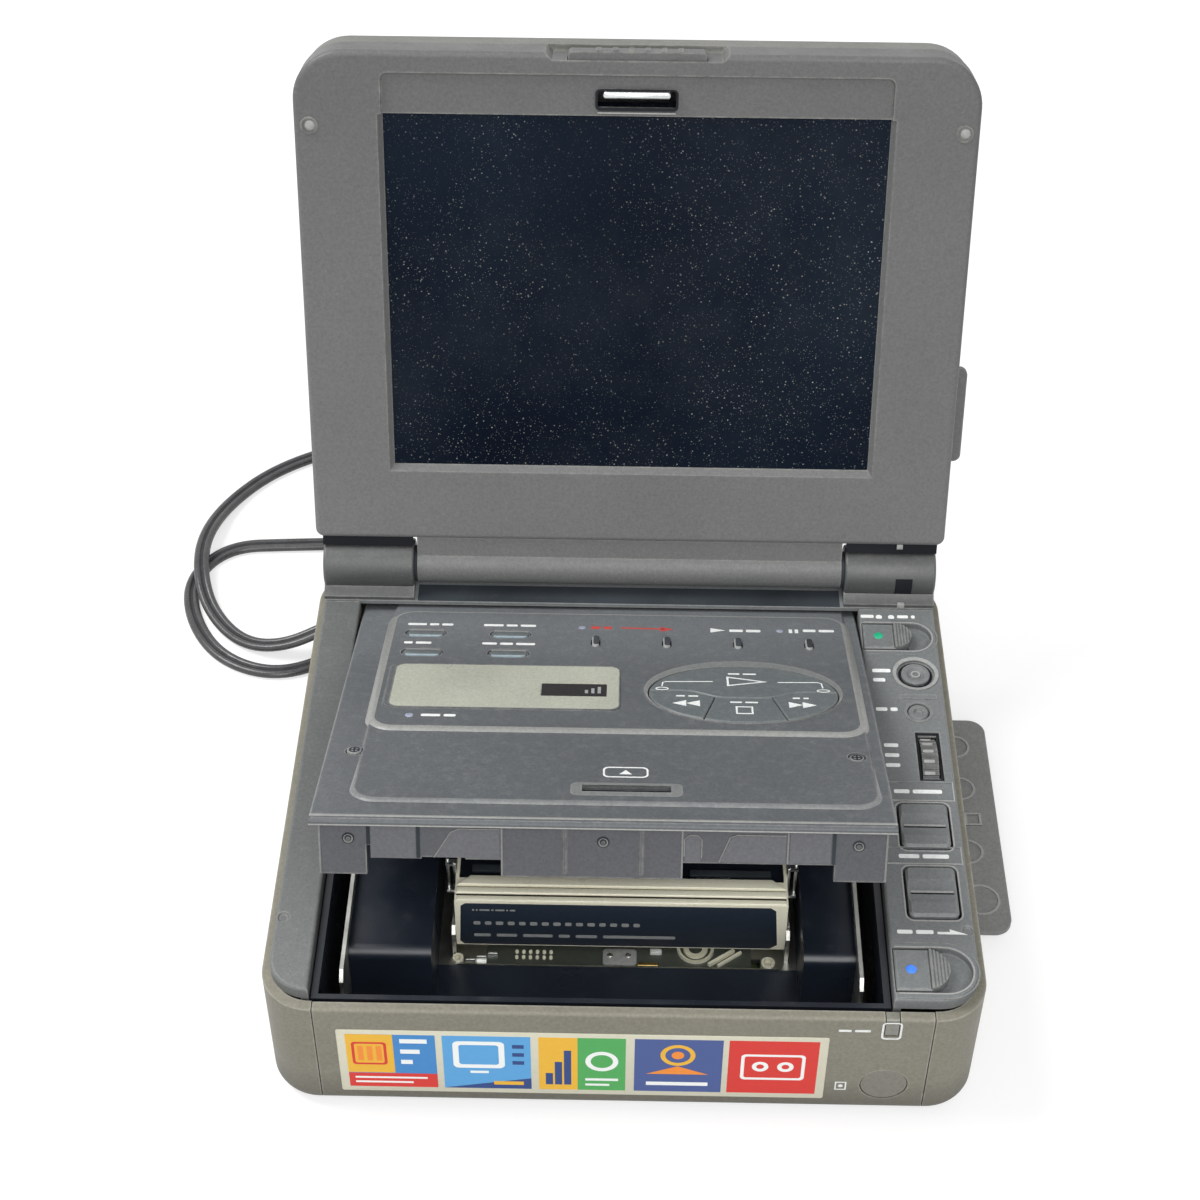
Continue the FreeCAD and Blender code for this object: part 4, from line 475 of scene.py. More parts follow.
class Work:
    """Collects shapes of one piece in one local frame."""

    def __init__(self, name, body, where, paints, slot):
        self.name = name
        self.body = body
        self.where = where
        self.paints = paints
        self.slot = slot
        self.bm = bmesh.new()

    def _ring(self, loop, w):
        return [self.bm.verts.new(self.where @ Vector((u, v, w))) for u, v in loop]

    def _sides(self, a, b, paint):
        for i in range(len(a)):
            j = (i + 1) % len(a)
            self.bm.faces.new((a[i], a[j], b[j], b[i])).material_index = paint

    def prism(self, loop, w0, w1, paint=0, bevel=0.0):
        rings = [self._ring(loop, w0)]
        if bevel > 0:
            rings.append(self._ring(loop, w1 - bevel))
            rings.append(self._ring(shrink(loop, bevel * 0.35), w1 - bevel * 0.35))
            rings.append(self._ring(shrink(loop, bevel), w1))
        else:
            rings.append(self._ring(loop, w1))
        for a, b in zip(rings, rings[1:]):
            self._sides(a, b, paint)
        self.bm.faces.new(rings[-1]).material_index = paint
        self.bm.faces.new(rings[0][::-1]).material_index = paint
        return self

    def ring(self, outer, inner, w0, w1, paint=0, inner_w1=None):
        # A closed band between two outlines with as many points
        high = w1 if inner_w1 is None else inner_w1
        rings = [self._ring(outer, w0), self._ring(outer, w1), self._ring(inner, high), self._ring(inner, w0)]
        for a, b in zip(rings, rings[1:] + rings[:1]):
            self._sides(a, b, paint)
        return self

    def stroke(self, points, wide, w0, w1, paint=0):
        # A line of that width through the points
        half = wide / 2
        left, right = [], []
        for i, here in enumerate(points):
            before = Vector(points[max(i - 1, 0)])
            after = Vector(points[min(i + 1, len(points) - 1)])
            way = (after - before).normalized()
            side = Vector((-way.y, way.x)) * half
            left.append(tuple(Vector(here) + side))
            right.append(tuple(Vector(here) - side))
        return self.prism(right + left[::-1], w0, w1, paint)

    def band(self, path, profile, paint=0, closed=True, fade=0):
        # A profile of (inward, height) pairs swept along a path; its first height stays where it fades out
        count = len(path)
        rows = []
        for i, here in enumerate(path):
            before = path[i - 1] if closed else path[max(i - 1, 0)]
            after = path[(i + 1) % count] if closed else path[min(i + 1, count - 1)]
            one = (Vector(here) - Vector(before)).normalized()
            two = (Vector(after) - Vector(here)).normalized()
            way = (one + two).normalized()
            side = Vector((-way.y, way.x))
            share = 1.0 if closed else min(1.0, (min(i, count - 1 - i) + 0.02) / max(fade, 0.001))
            base = profile[0][1]
            rows.append([self.bm.verts.new(self.where @ Vector((*(Vector(here) + side * d * share),
                                                                base + (w - base) * share)))
                         for d, w in profile])
        pairs = list(zip(rows, rows[1:])) + ([(rows[-1], rows[0])] if closed else [])
        for a, b in pairs:
            for k in range(len(profile) - 1):
                self.bm.faces.new((a[k], b[k], b[k + 1], a[k + 1])).material_index = paint
            self.bm.faces.new((a[-1], b[-1], b[0], a[0])).material_index = paint
        if not closed:
            self.bm.faces.new(rows[0][::-1]).material_index = paint
            self.bm.faces.new(rows[-1]).material_index = paint
        return self

    def dashes(self, u, v, lengths, w0, w1, paint=0, tall=0.5, gap=0.7):
        for long in lengths:
            self.prism(rect(u, u + long, v - tall / 2, v + tall / 2, tall * 0.3, 3), w0, w1, paint)
            u += long + gap
        return self

    def done(self, smooth=35.0):
        bmesh.ops.recalc_face_normals(self.bm, faces=self.bm.faces)
        mesh = bpy.data.meshes.new(self.name)
        self.bm.to_mesh(mesh)
        self.bm.free()
        for key in self.paints:
            mesh.materials.append(PAINTS[key])
        mesh.shade_smooth()
        mesh.set_sharp_from_angle(angle=math.radians(smooth))
        obj = bpy.data.objects.new(self.name, mesh)
        bpy.context.collection.objects.link(obj)
        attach(obj, self.body)
        return obj


def top_of(node):
    # The height of a node's top, in millimetres
    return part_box(node)[1][2] / MM


INK = 0.03


# Camera

camera_data = bpy.data.cameras.new("camera")
camera_data.sensor_width = 36.0
camera_data.lens = 2257.5896 / 1200 * 36.0
camera_data.clip_start = 0.01
camera = bpy.data.objects.new("camera", camera_data)
bpy.context.collection.objects.link(camera)
bpy.context.scene.camera = camera
PITCH, YAW, ROLL = (math.radians(a) for a in (43.5101, -0.8243, -0.324))
forward = Vector((math.sin(YAW) * math.cos(PITCH), math.cos(YAW) * math.cos(PITCH), -math.sin(PITCH)))
right = Vector((math.cos(YAW), -math.sin(YAW), 0))
down = forward.cross(right)
right, down = (right * math.cos(ROLL) + down * math.sin(ROLL), down * math.cos(ROLL) - right * math.sin(ROLL))
axes = Matrix((right, -down, -forward)).transposed()
camera.matrix_world = move(-0.0012011, -0.3366834, 0.4061356) @ axes.to_4x4()


# Power lead: one route from the plug at the inlet, through the coil, to the plug at its far end

TO_COIL = [
    (-53.4, 138.6, 11.0), (-63.4, 138.6, 11.0), (-74.5, 137.0, 8.2), (-87.0, 133.4, 3.6), (-98.5, 136.8, 1.1),
    (-108.0, 148.0, 1.4), (-112.2, 160.0, 4.4), (-113.0, 174.5, 4.4), (-108.6, 191.5, 1.4),
    (-98.0, 205.5, 1.05), (-81.0, 215.5, 1.05), (-62.0, 221.0, 1.05), (-43.5, 223.8, 1.05),
    (-26.5, 224.9, 1.05), (-10.0, 224.6, 1.05),
]
FROM_COIL = [
    (-9.0, 169.4, 6.4), (-23.0, 168.7, 3.4), (-38.0, 169.4, 1.3), (-53.0, 171.8, 1.05), (-72.0, 175.5, 1.05),
    (-90.0, 174.6, 1.05), (-106.5, 173.5, 1.05), (-115.0, 161.0, 1.05), (-112.5, 145.5, 1.05),
    (-103.5, 131.5, 1.05), (-89.5, 125.6, 1.05), (-76.5, 130.5, 1.05), (-68.5, 141.0, 1.6),
    (-59.5, 148.0, 4.2), (-52.0, 149.0, 4.5),
]
COIL = (4.0, 197.0)
COIL_IN, COIL_OUT = 16.8, 27.3
COIL_START, COIL_TURNS, COIL_LAYERS = 100.0, 200.0 / 360 + 10, 4
STRAND = 1.0


def coil_points():
    # Turns that run in and out by layers, each layer on the one below
    points = []
    count = int(round(COIL_TURNS * 16))
    for i in range(count + 1):
        share = i / count
        angle = math.radians(COIL_START - 360 * COIL_TURNS * share)
        inward = abs((share * COIL_LAYERS + 1) % 2 - 1)
        r = COIL_OUT - (COIL_OUT - COIL_IN) * inward
        z = STRAND + 0.05
        for layer in range(1, COIL_LAYERS):
            z += 2.1 * STRAND * min(max((share * COIL_LAYERS - layer) / 0.16 + 0.5, 0), 1)
        points.append((COIL[0] + r * math.cos(angle), COIL[1] + r * math.sin(angle), z))
    return points


def nurbs_path(points):
    curve = bpy.data.curves.new("route", "CURVE")
    curve.dimensions = "3D"
    curve.resolution_u = 8
    spline = curve.splines.new("NURBS")
    spline.points.add(len(points) - 1)
    for point, (x, y, z) in zip(spline.points, points):
        point.co = (x * MM, (y - HALF_DEEP) * MM, z * MM, 1.0)
    spline.order_u = 3
    spline.use_endpoint_u = True
    holder = bpy.data.objects.new("route", curve)
    bpy.context.collection.objects.link(holder)
    bpy.context.view_layer.update()
    mesh = bpy.data.meshes.new_from_object(holder)
    path = [v.co.copy() for v in mesh.vertices]
    bpy.data.objects.remove(holder)
    bpy.data.meshes.remove(mesh)
    return path


def lead():
    path = nurbs_path(TO_COIL + coil_points() + FROM_COIL)
    gone = [0.0]
    for a, b in zip(path, path[1:]):
        gone.append(gone[-1] + (b - a).length)
    total = gone[-1]
    r = STRAND * MM
    count = 14
    bm = bmesh.new()
    rings = []
    for i, here in enumerate(path):
        way = (path[min(i + 1, len(path) - 1)] - path[max(i - 1, 0)]).normalized()
        side = way.cross(Vector((0, 0, 1))).normalized()
        lift = side.cross(way).normalized()
        near_end = min(gone[i], total - gone[i])
        apart = r * (0.55 + 0.45 * min(near_end / 0.012, 1.0))
        reach = math.acos(0.2 - apart / r)
        ring = []
        for sign in (1, -1):
            for k in range(count):
                angle = reach * (2.0 * k / (count - 1) - 1)
                ring.append(bm.verts.new(here + side * sign * (apart + r * math.cos(angle))
                                         + lift * sign * r * math.sin(angle)))
        rings.append(ring)
    for a, b in zip(rings, rings[1:]):
        for k in range(len(a)):
            j = (k + 1) % len(a)
            face = bm.faces.new((a[k], a[j], b[j], b[k]))
            # painted shade in the seam between the strands
            face.material_index = int(k % count in (0, count - 2, count - 1))
    bm.faces.new(rings[0][::-1])
    bm.faces.new(rings[-1])
    bmesh.ops.recalc_face_normals(bm, faces=bm.faces)
    mesh = bpy.data.meshes.new("twin_lead")
    bm.to_mesh(mesh)
    bm.free()
    mesh.materials.append(PAINTS["cord"])
    mesh.materials.append(PAINTS["rubber"])
    mesh.shade_smooth()
    mesh.set_sharp_from_angle(angle=math.radians(60))
    obj = bpy.data.objects.new("twin_lead", mesh)
    bpy.context.collection.objects.link(obj)
    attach(obj, "cabinet")
    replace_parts(obj, "power_lead", "lead_coil")
    tie = Work("lead_tie", "cabinet", SCALE @ move(COIL[0], COIL[1] - HALF_DEEP, 0)
               @ plane_matrix((1, 0, 0), (0, 0, 1), (0, -1, 0), (0, 2, 0)), ["rubber"], "rubber")
    inner, outer = COIL_IN - 2.5, COIL_OUT + 2.5
    tie.ring(rect(inner - 0.4, outer + 0.4, 0.0, 9.0, 1.6), rect(inner, outer, 0.06, 8.6, 1.4), 0, 4)
    tied = tie.done()
    print("lead", round(total, 3), "m")


lead()


# Lid

def lid_face():
    # Caps over the lid's screws: a round lip with a lighter dimple, a painted highlight
    caps = Work("lid_screw_caps", "screen_lid", LID_FACE, ["lid", "soft_light"], "lid_plastic")
    for side in (-1, 1):
        u, v = side * 70.6, 98.7
        caps.prism(circle(u, v, 2.0), -0.2, 0.2, 0, 0.2)
        caps.ring(circle(u, v, 1.75, 28), circle(u, v, 1.5, 28), 0.15, 0.42, 0)
        caps.prism(circle(u + 0.15, v + 0.15, 1.15, 24), 0.15, 0.4, 1, 0.3)
    caps.done()

    catch = Work("latch_bar", "latch_hook_body", LID_FACE, ["bright", "lid"], "steel")
    catch.prism(rect(-7.3, 7.3, 105.3, 107.0, 0.8), -0.6, 0.25, 0, 0.4)
    catch.done()

    frame_line = Work("latch_frame", "screen_lid", LID_FACE, ["groove", "soft_light"], "lid_plastic")
    frame_line.ring(rect(-8.9, 8.9, 102.8, 107.4, 1.0), rect(-8.4, 8.4, 103.4, 107.1, 0.7), -0.3, 0.06, 0)
    # painted highlight along the lower edge of the latch's frame
    frame_line.stroke([(-8.4, 102.3), (8.4, 102.3)], 0.3, -0.3, 0.05, 1)
    frame_line.done()


lid_face()


def hinge_details():
    # Painted shade: dark strips in the gaps between the lid and the hinge covers, and a dark film as painted shadow
    # under the barrel; also the small catch in the right cover
    for side, name in ((-1, "hinge_gap_shade_left"), (1, "hinge_gap_shade_right")):
        # painted shade: a dark strip fills the gap behind the lid's lower edge
        joint = Work(name, "screen_lid", LID, ["groove"], "lid_plastic")
        inner, outer = sorted((side * 51.2, side * 72.4))
        joint.prism(rect(inner, outer, -3.0, -1.6), 5.95, 8.4, 0)
        joint.done()
    across = BASE @ plane_matrix((0, 1, 0), (0, 0, 1), (1, 0, 0), (0, 124.6, 41.2))
    washers = Work("hinge_washers", "cabinet", across, ["shadow"], "lid_plastic")
    for low in (-50.95, 50.25):
        washers.ring(circle(0, 0, 4.3, 40), circle(0, 0, 2.6, 40), low, low + 0.7, 0)
    washers.done()
    under = Work("barrel_shade", "cabinet", BASE, ["shadow", "groove", "soft_light"], "strip_plastic")
    under.prism(rect(-50.2, 50.2, 117.0, 122.6), 35.9, 36.04, 0)
    under.prism(rect(63.7, 65.4, 116.9, 117.9), 36.0, 37.2, 2, 0.2)
    under.done()
    notch = Work("hinge_notch", "cabinet", across, ["groove"], "strip_plastic")
    notch.prism(arc(0, 0, 5.85, 158, 206, 12) + arc(0, 0, 6.05, 206, 158, 12), 62.9, 66.9, 0)
    notch.done()
    catch = Work("hinge_catch", "screen_lid", LID_FACE, ["soft_light"], "lid_plastic")
    catch.prism(rect(62.9, 64.3, -0.9, 0.2), -0.9, 0.06, 0, 0.1)
    catch.done()


hinge_details()


# Marks on the door panel

DOOR_TOP = 35.8
KEY_TOP = 36.2


def on_door(name, body, paints, slot="key_plastic"):
    return Work(name, body, DOOR, paints, slot)


def door_marks():
    w0, w1 = DOOR_TOP - 0.05, DOOR_TOP + INK
    marks = on_door("door_print", "cassette_door", ["white", "red", "violet"])
    marks.dashes(-51.6, 97.0, (4.4, 2.2, 2.6), w0, w1, 0, 1.1)
    marks.dashes(-51.6, 86.8, (2.0, 3.6), w0, w1, 0, 1.1)
    marks.dashes(-33.8, 97.0, (4.6, 2.6, 3.6), w0, w1, 0, 1.1)
    marks.dashes(-33.6, 86.9, (3.4, 3.0, 4.4), w0, w1, 0, 1.1)
    marks.prism(circle(-10.8, 96.4, 0.85, 20), w0, w1 + 0.1, 2, 0.08)
    marks.dashes(-8.7, 96.5, (2.2, 2.0), w0, w1, 1, 1.3)
    marks.stroke([(-1.6, 96.6), (8.4, 96.3)], 0.6, w0, w1, 1)
    marks.prism([(7.6, 95.0), (10.6, 96.2), (7.6, 97.4)], w0, w1, 1)
    marks.prism([(19.2, 94.9), (22.6, 96.1), (19.2, 97.2)], w0, w1)
    marks.dashes(23.6, 96.0, (3.2, 3.4), w0, w1, 0, 1.3)
    marks.prism(circle(35.4, 96.2, 0.85, 20), w0, w1 + 0.1, 2, 0.08)
    for u in (37.5, 38.9):
        marks.prism(rect(u, u + 0.8, 95.2, 97.2), w0, w1)
    marks.dashes(40.8, 96.6, (3.0, 3.6), w0, w1, 0, 1.3)
    marks.prism(circle(-47.0, 50.0, 0.9, 20), w0, w1 + 0.1, 2, 0.08)
    marks.dashes(-44.5, 50.2, (4.2, 2.6), w0, w1, 0, 1.1)
    marks.done()

    low0, low1 = DOOR_TOP - 0.55, DOOR_TOP - 0.5 + INK
    place = on_door("door_place_mark", "cassette_door", ["white"])
    place.ring(rect(-4.9, 4.5, 24.4, 28.9, 1.3), rect(-4.5, 4.1, 24.8, 28.5, 1.0), low0, low1)
    place.prism([(-1.5, 25.8), (1.1, 25.8), (-0.2, 27.6)], low0, low1)
    place.done()

    play = on_door("play_mark", "play_key_body", ["white"])
    k0, k1 = KEY_TOP - 0.05, KEY_TOP + INK
    outline = [(22.0, 65.8), (31.0, 68.2), (22.0, 70.6)]
    play.ring(outline, shrink(outline, 0.45), k0, k1)
    play.stroke([(18.9, 68.0), (8.6, 67.6), (7.8, 67.2), (7.6, 65.4)], 0.3, k0, k1)
    play.stroke([(33.3, 68.0), (42.2, 68.3), (43.0, 67.8), (43.2, 65.4)], 0.3, k0, k1)
    play.dashes(22.4, 72.0, (2.6, 3.0), k0, k1, 0, 0.6)
    for u in (7.6, 43.2):
        play.ring(ellipse(u, 64.1, 1.5, 0.75, 24), ellipse(u, 64.1, 1.2, 0.45, 24), k0, k1)
    play.done()

    stop = on_door("stop_mark", "stop_key_body", ["white"])
    outline = rect(23.5, 27.3, 52.3, 55.9)
    stop.ring(outline, shrink(outline, 0.4), k0, k1)
    stop.dashes(22.4, 57.9, (2.6, 2.8), k0, k1, 0, 0.6)
    stop.done()

    back = on_door("rewind_mark", "rewind_key_body", ["white"])
    for u in (9.8, 12.8):
        back.prism([(u, 57.1), (u + 3.0, 55.7), (u + 3.0, 58.5)], k0, k1)
    back.dashes(10.6, 60.6, (2.0, 2.2), k0, k1, 0, 0.6)
    back.done()

    fast = on_door("forward_mark", "forward_key_body", ["white"])
    for u in (35.2, 38.2):
        fast.prism([(u, 55.6), (u + 3.0, 57.0), (u, 58.4)], k0, k1)
    fast.dashes(36.2, 60.3, (1.6, 1.2), k0, k1, 0, 0.6)
    fast.done()


door_marks()


PLATE = (-53.2, -1.8, 53.6, 75.0)
PLATE_TOP = DOOR_TOP + 0.3
PLATEAU = (-55.2, 50.8, 44.5, 104.5)
STEP_ROUND = 5.0


def door_trim():
    # Round edges of the panel's steps and its front lip, with painted highlights
    trim = on_door("door_edge_highlights", "cassette_door", ["door_edge_highlight", "mid_edge_highlight", "door_lip"], "door_plastic")
    high = [(-1.25, 34.82), (-0.95, 35.2), (-0.5, 35.54), (0.0, 35.76), (0.45, 35.84), (0.8, 35.83)]
    trim.band(rect(*PLATEAU, STEP_ROUND, 10), high, 0)
    left, right, low = PLATEAU[0] - 0.4, PLATEAU[1] + 0.4, 14.0
    path = [(left, low + STEP_ROUND + 14 - 2.0 * i) for i in range(7)]
    path += arc(left + STEP_ROUND, low + STEP_ROUND, STEP_ROUND, 180, 270, 10)
    path += arc(right - STEP_ROUND, low + STEP_ROUND, STEP_ROUND, 270, 360, 10)
    path += [(right, low + STEP_ROUND + 2.0 * (i + 1)) for i in range(7)]
    trim.band(path, [(-0.75, 34.85), (-0.5, 35.12), (-0.15, 35.28), (0.2, 35.34), (0.5, 35.33)], 1, False, 9)
    trim.band([(-63.0, 6.4), (53.8, 6.4)],
              [(-0.3, 33.6), (-0.4, 34.1), (-0.2, 34.5), (0.4, 34.74), (1.0, 34.82)], 2, False)
    trim.band([(-63.0, 6.4), (53.8, 6.4)], [(1.0, 34.7), (1.1, 34.88), (1.5, 34.95), (1.9, 34.83)], 0, False)
    trim.band([(-63.0, 6.4), (53.8, 6.4)], [(-0.3, 33.4), (-0.48, 33.52), (-0.42, 33.75), (-0.1, 33.8)], 0, False)
    trim.done(60.0)

    rim = on_door("plate_edge", "cassette_door", ["door"], "door_plastic")
    rim.ring(rect(PLATE[0] - 0.1, PLATE[1] + 0.1, PLATE[2] - 0.1, PLATE[3] + 0.1, 2.1),
             rect(PLATE[0] + 1.3, PLATE[1] - 0.1, PLATE[2] + 0.15, PLATE[3] - 0.15, 2.2),
             DOOR_TOP - 0.05, PLATE_TOP + 0.06, 0, PLATE_TOP + 0.03)
    rim.done()

    # lighter crescent round the keys: painted highlight on the raised pad's edge
    pad = on_door("pad_rim", "cassette_door", ["rim", "door"], "door_plastic")
    pad.ring(ellipse(25.5, 63.7, 21.9, 15.4), ellipse(25.5, 62.15, 21.15, 14.0), DOOR_TOP + 0.1,
             DOOR_TOP + 0.2, 0, DOOR_TOP + 0.34)
    pad.done()

    grip = on_door("finger_groove", "cassette_door", ["rim", "groove"], "door_plastic")
    floor_w = DOOR_TOP - 0.5 - 1.2
    outer, inner = rect(-11.4, 11.4, 16.6, 22.0, 1.4), rect(-9.1, 9.1, 18.2, 21.0, 0.2)
    # lighter rim round the finger groove: painted highlight
    grip.ring(outer, inner, floor_w + 0.4, DOOR_TOP - 0.47, 0, DOOR_TOP - 0.4)
    grip.prism(rect(-9.0, 9.0, 18.3, 20.9), floor_w - 0.1, floor_w + 0.1, 1)
    grip.done()

    for name, u in (("record_button", -7.5), ("record_mate_button", 8.9), ("slow_button", 25.3),
                    ("pause_button", 41.7)):
        cap = on_door(name + "_cap", name + "_body", ["soft_light", "key_dark", "key"])
        # a light rim round each cap's dark top: painted highlight
        cap.prism(rect(u - 0.8, u + 0.8, 86.0, 91.0, 0.78), 32.6, 36.3, 0, 0.12)
        cap.prism(rect(u - 0.5, u + 0.8, 86.35, 90.9, 0.6), 36.2, 36.42, 1, 0.1)
        cap.prism(rect(u - 1.2, u + 1.2, 87.3, 89.7), 32.5, 33.4, 2)
        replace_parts(cap.done(), name)
        slot = on_door(name + "_slot", "cassette_door", ["door_flat", "groove"], "door_plastic")
        slot.ring(rect(u - 2.2, u + 2.2, 84.6, 92.4, 1.0), rect(u - 1.1, u + 1.1, 85.7, 91.3, 1.05),
                  34.9, DOOR_TOP + 0.02, 0)
        slot.ring(rect(u - 1.1, u + 1.1, 85.7, 91.3, 1.05), rect(u - 0.85, u + 0.85, 85.95, 91.05, 0.8),
                  34.5, 35.2, 1)
        slot.done()

    for name, u, v in (("display_button", -47.0, 92.2), ("title_button", -47.0, 81.8),
                       ("dub_button", -27.3, 92.2), ("assemble_button", -27.3, 81.8)):
        face = on_door(name + "_face", name + "_body", ["key", "key_highlight", "soft_light"])
        face.prism(rect(u - 4.2, u + 4.2, v - 0.9, v + 1.5, 1.1), 35.0, DOOR_TOP - 0.05, 0, 0.25)
        # painted highlight along the front edge of each pill key
        face.prism([(u - 3.9, v - 1.0), (u - 3.2, v - 1.65), (u + 3.2, v - 1.65), (u + 3.9, v - 1.0)],
                   35.0, DOOR_TOP + 0.02, 1)
        face.stroke([(u - 4.3, v + 1.85), (u + 4.3, v + 1.85)], 0.2, 35.0, DOOR_TOP - 0.02, 2)
        face.done()


door_trim()


def skirt_relief():
    # Blocks, ribs and scoops of the wall under the panel's front edge, as lighter blocks with painted highlights
    # along their edges and painted shade lines beside some of them, and the screws
    front = DOOR @ plane_matrix((1, 0, 0), (0, 0, 1), (0, -1, 0), (0, 8.4, 0))
    wall = Work("skirt_relief", "cassette_door", front, ["skirt_light", "skirt_line", "shadow"], "door_plastic")
    wall.prism([(-51.0, 25.0), (-42.0, 25.0), (-42.0, 33.2), (-51.0, 33.2)], -0.05, 0.1, 0)
    wall.prism([(-38.2, 25.2), (-25.2, 25.2), (-25.2, 31.6), (-33.4, 31.6), (-34.8, 31.0)], -0.05, 0.08, 0)
    wall.prism([(11.9, 25.2), (15.0, 25.2), (15.0, 30.0), (14.2, 31.0), (12.8, 31.0), (11.9, 30.0)], -0.05, 0.08, 0)
    wall.prism([(18.9, 25.2), (32.0, 25.2), (32.0, 31.2), (22.4, 31.2), (21.0, 30.6)], -0.05, 0.08, 0)
    wall.prism([(32.8, 25.2), (41.0, 25.2), (41.0, 33.2), (32.8, 33.2)], -0.05, 0.1, 0)
    for path in ([(-38.4, 25.2), (-35.0, 31.0), (-33.4, 31.8), (-25.2, 31.8)],
                 [(11.7, 26.4), (11.7, 30.2), (12.7, 31.2), (14.3, 31.2), (15.2, 30.2), (15.2, 26.0)],
                 [(18.7, 25.2), (20.8, 30.8), (22.3, 31.4), (32.0, 31.4)]):
        wall.stroke(path, 0.25, 0, 0.14, 1)
    for u, low, high in ((-61.3, 21.2, 33.3), (-24.8, 21.2, 33.0), (11.3, 21.2, 33.0), (32.4, 25.0, 33.0),
                         (52.1, 21.2, 33.3)):
        wall.stroke([(u, low), (u, high)], 0.35, 0, 0.14, 1)
    for u, low in ((-51.5, 28.0), (-41.5, 25.0), (41.6, 25.0)):
        wall.stroke([(u, low), (u, 33.3)], 0.7, 0, 0.16, 2)
    wall.done()

    heads = Work("door_screw_heads", "cassette_door", front, ["skirt", "shadow", "skirt_line"], "door_plastic")
    for i in (-1, 0, 1):
        u, v = -4.5 + 51.0 * i, 29.3
        heads.prism(circle(u, v, 1.25, 28), -0.4, 0.12, 1)
        heads.prism(circle(u, v - 0.05, 1.0, 28), -0.4, 0.3, 2, 0.1)
        heads.prism(circle(u, v + 0.12, 0.72, 24), 0.2, 0.34, 1)
        heads.prism(circle(u, v - 0.02, 0.5, 20), 0.2, 0.42, 0, 0.1)
    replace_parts(heads.done(), "door_screws")

    top = on_door("door_screw_tops", "cassette_door", ["rim", "shadow"], "steel")
    for i in (-1, 1):
        u, v, low = -4.5 + 52.6 * i, 35.0, DOOR_TOP - 1.6
        top.prism(circle(u, v, 1.62, 32), low, DOOR_TOP - 0.62, 0, 0.25)
        top.ring(circle(u, v, 1.2, 28), circle(u, v, 0.85, 28), low, DOOR_TOP - 0.58, 1)
        top.prism(rect(u - 0.95, u + 0.95, v - 0.2, v + 0.2), low, DOOR_TOP - 0.56, 1)
        top.prism(rect(u - 0.2, u + 0.2, v - 0.95, v + 0.95), low, DOOR_TOP - 0.56, 1)
    top.done()


skirt_relief()


def plate_window():
    # A dark window in the bare metal plate
    plate = on_door("plate_window", "cassette_door", ["lens", "dim"], "lens")
    top = DOOR_TOP + 0.16
    plate.prism(rect(-19.0, -4.6, 60.0, 66.2, 0.3), top - 0.1, top + 0.02, 0)
    for i, u in enumerate((-9.4, -8.0, -6.6)):
        plate.prism(rect(u, u + 0.7, 61.6, 63.2 + 0.8 * i), top, top + 0.05, 1)
    plate.done()


plate_window()


# Marks on the control strip and the front


STRIP_TOP = 36.0


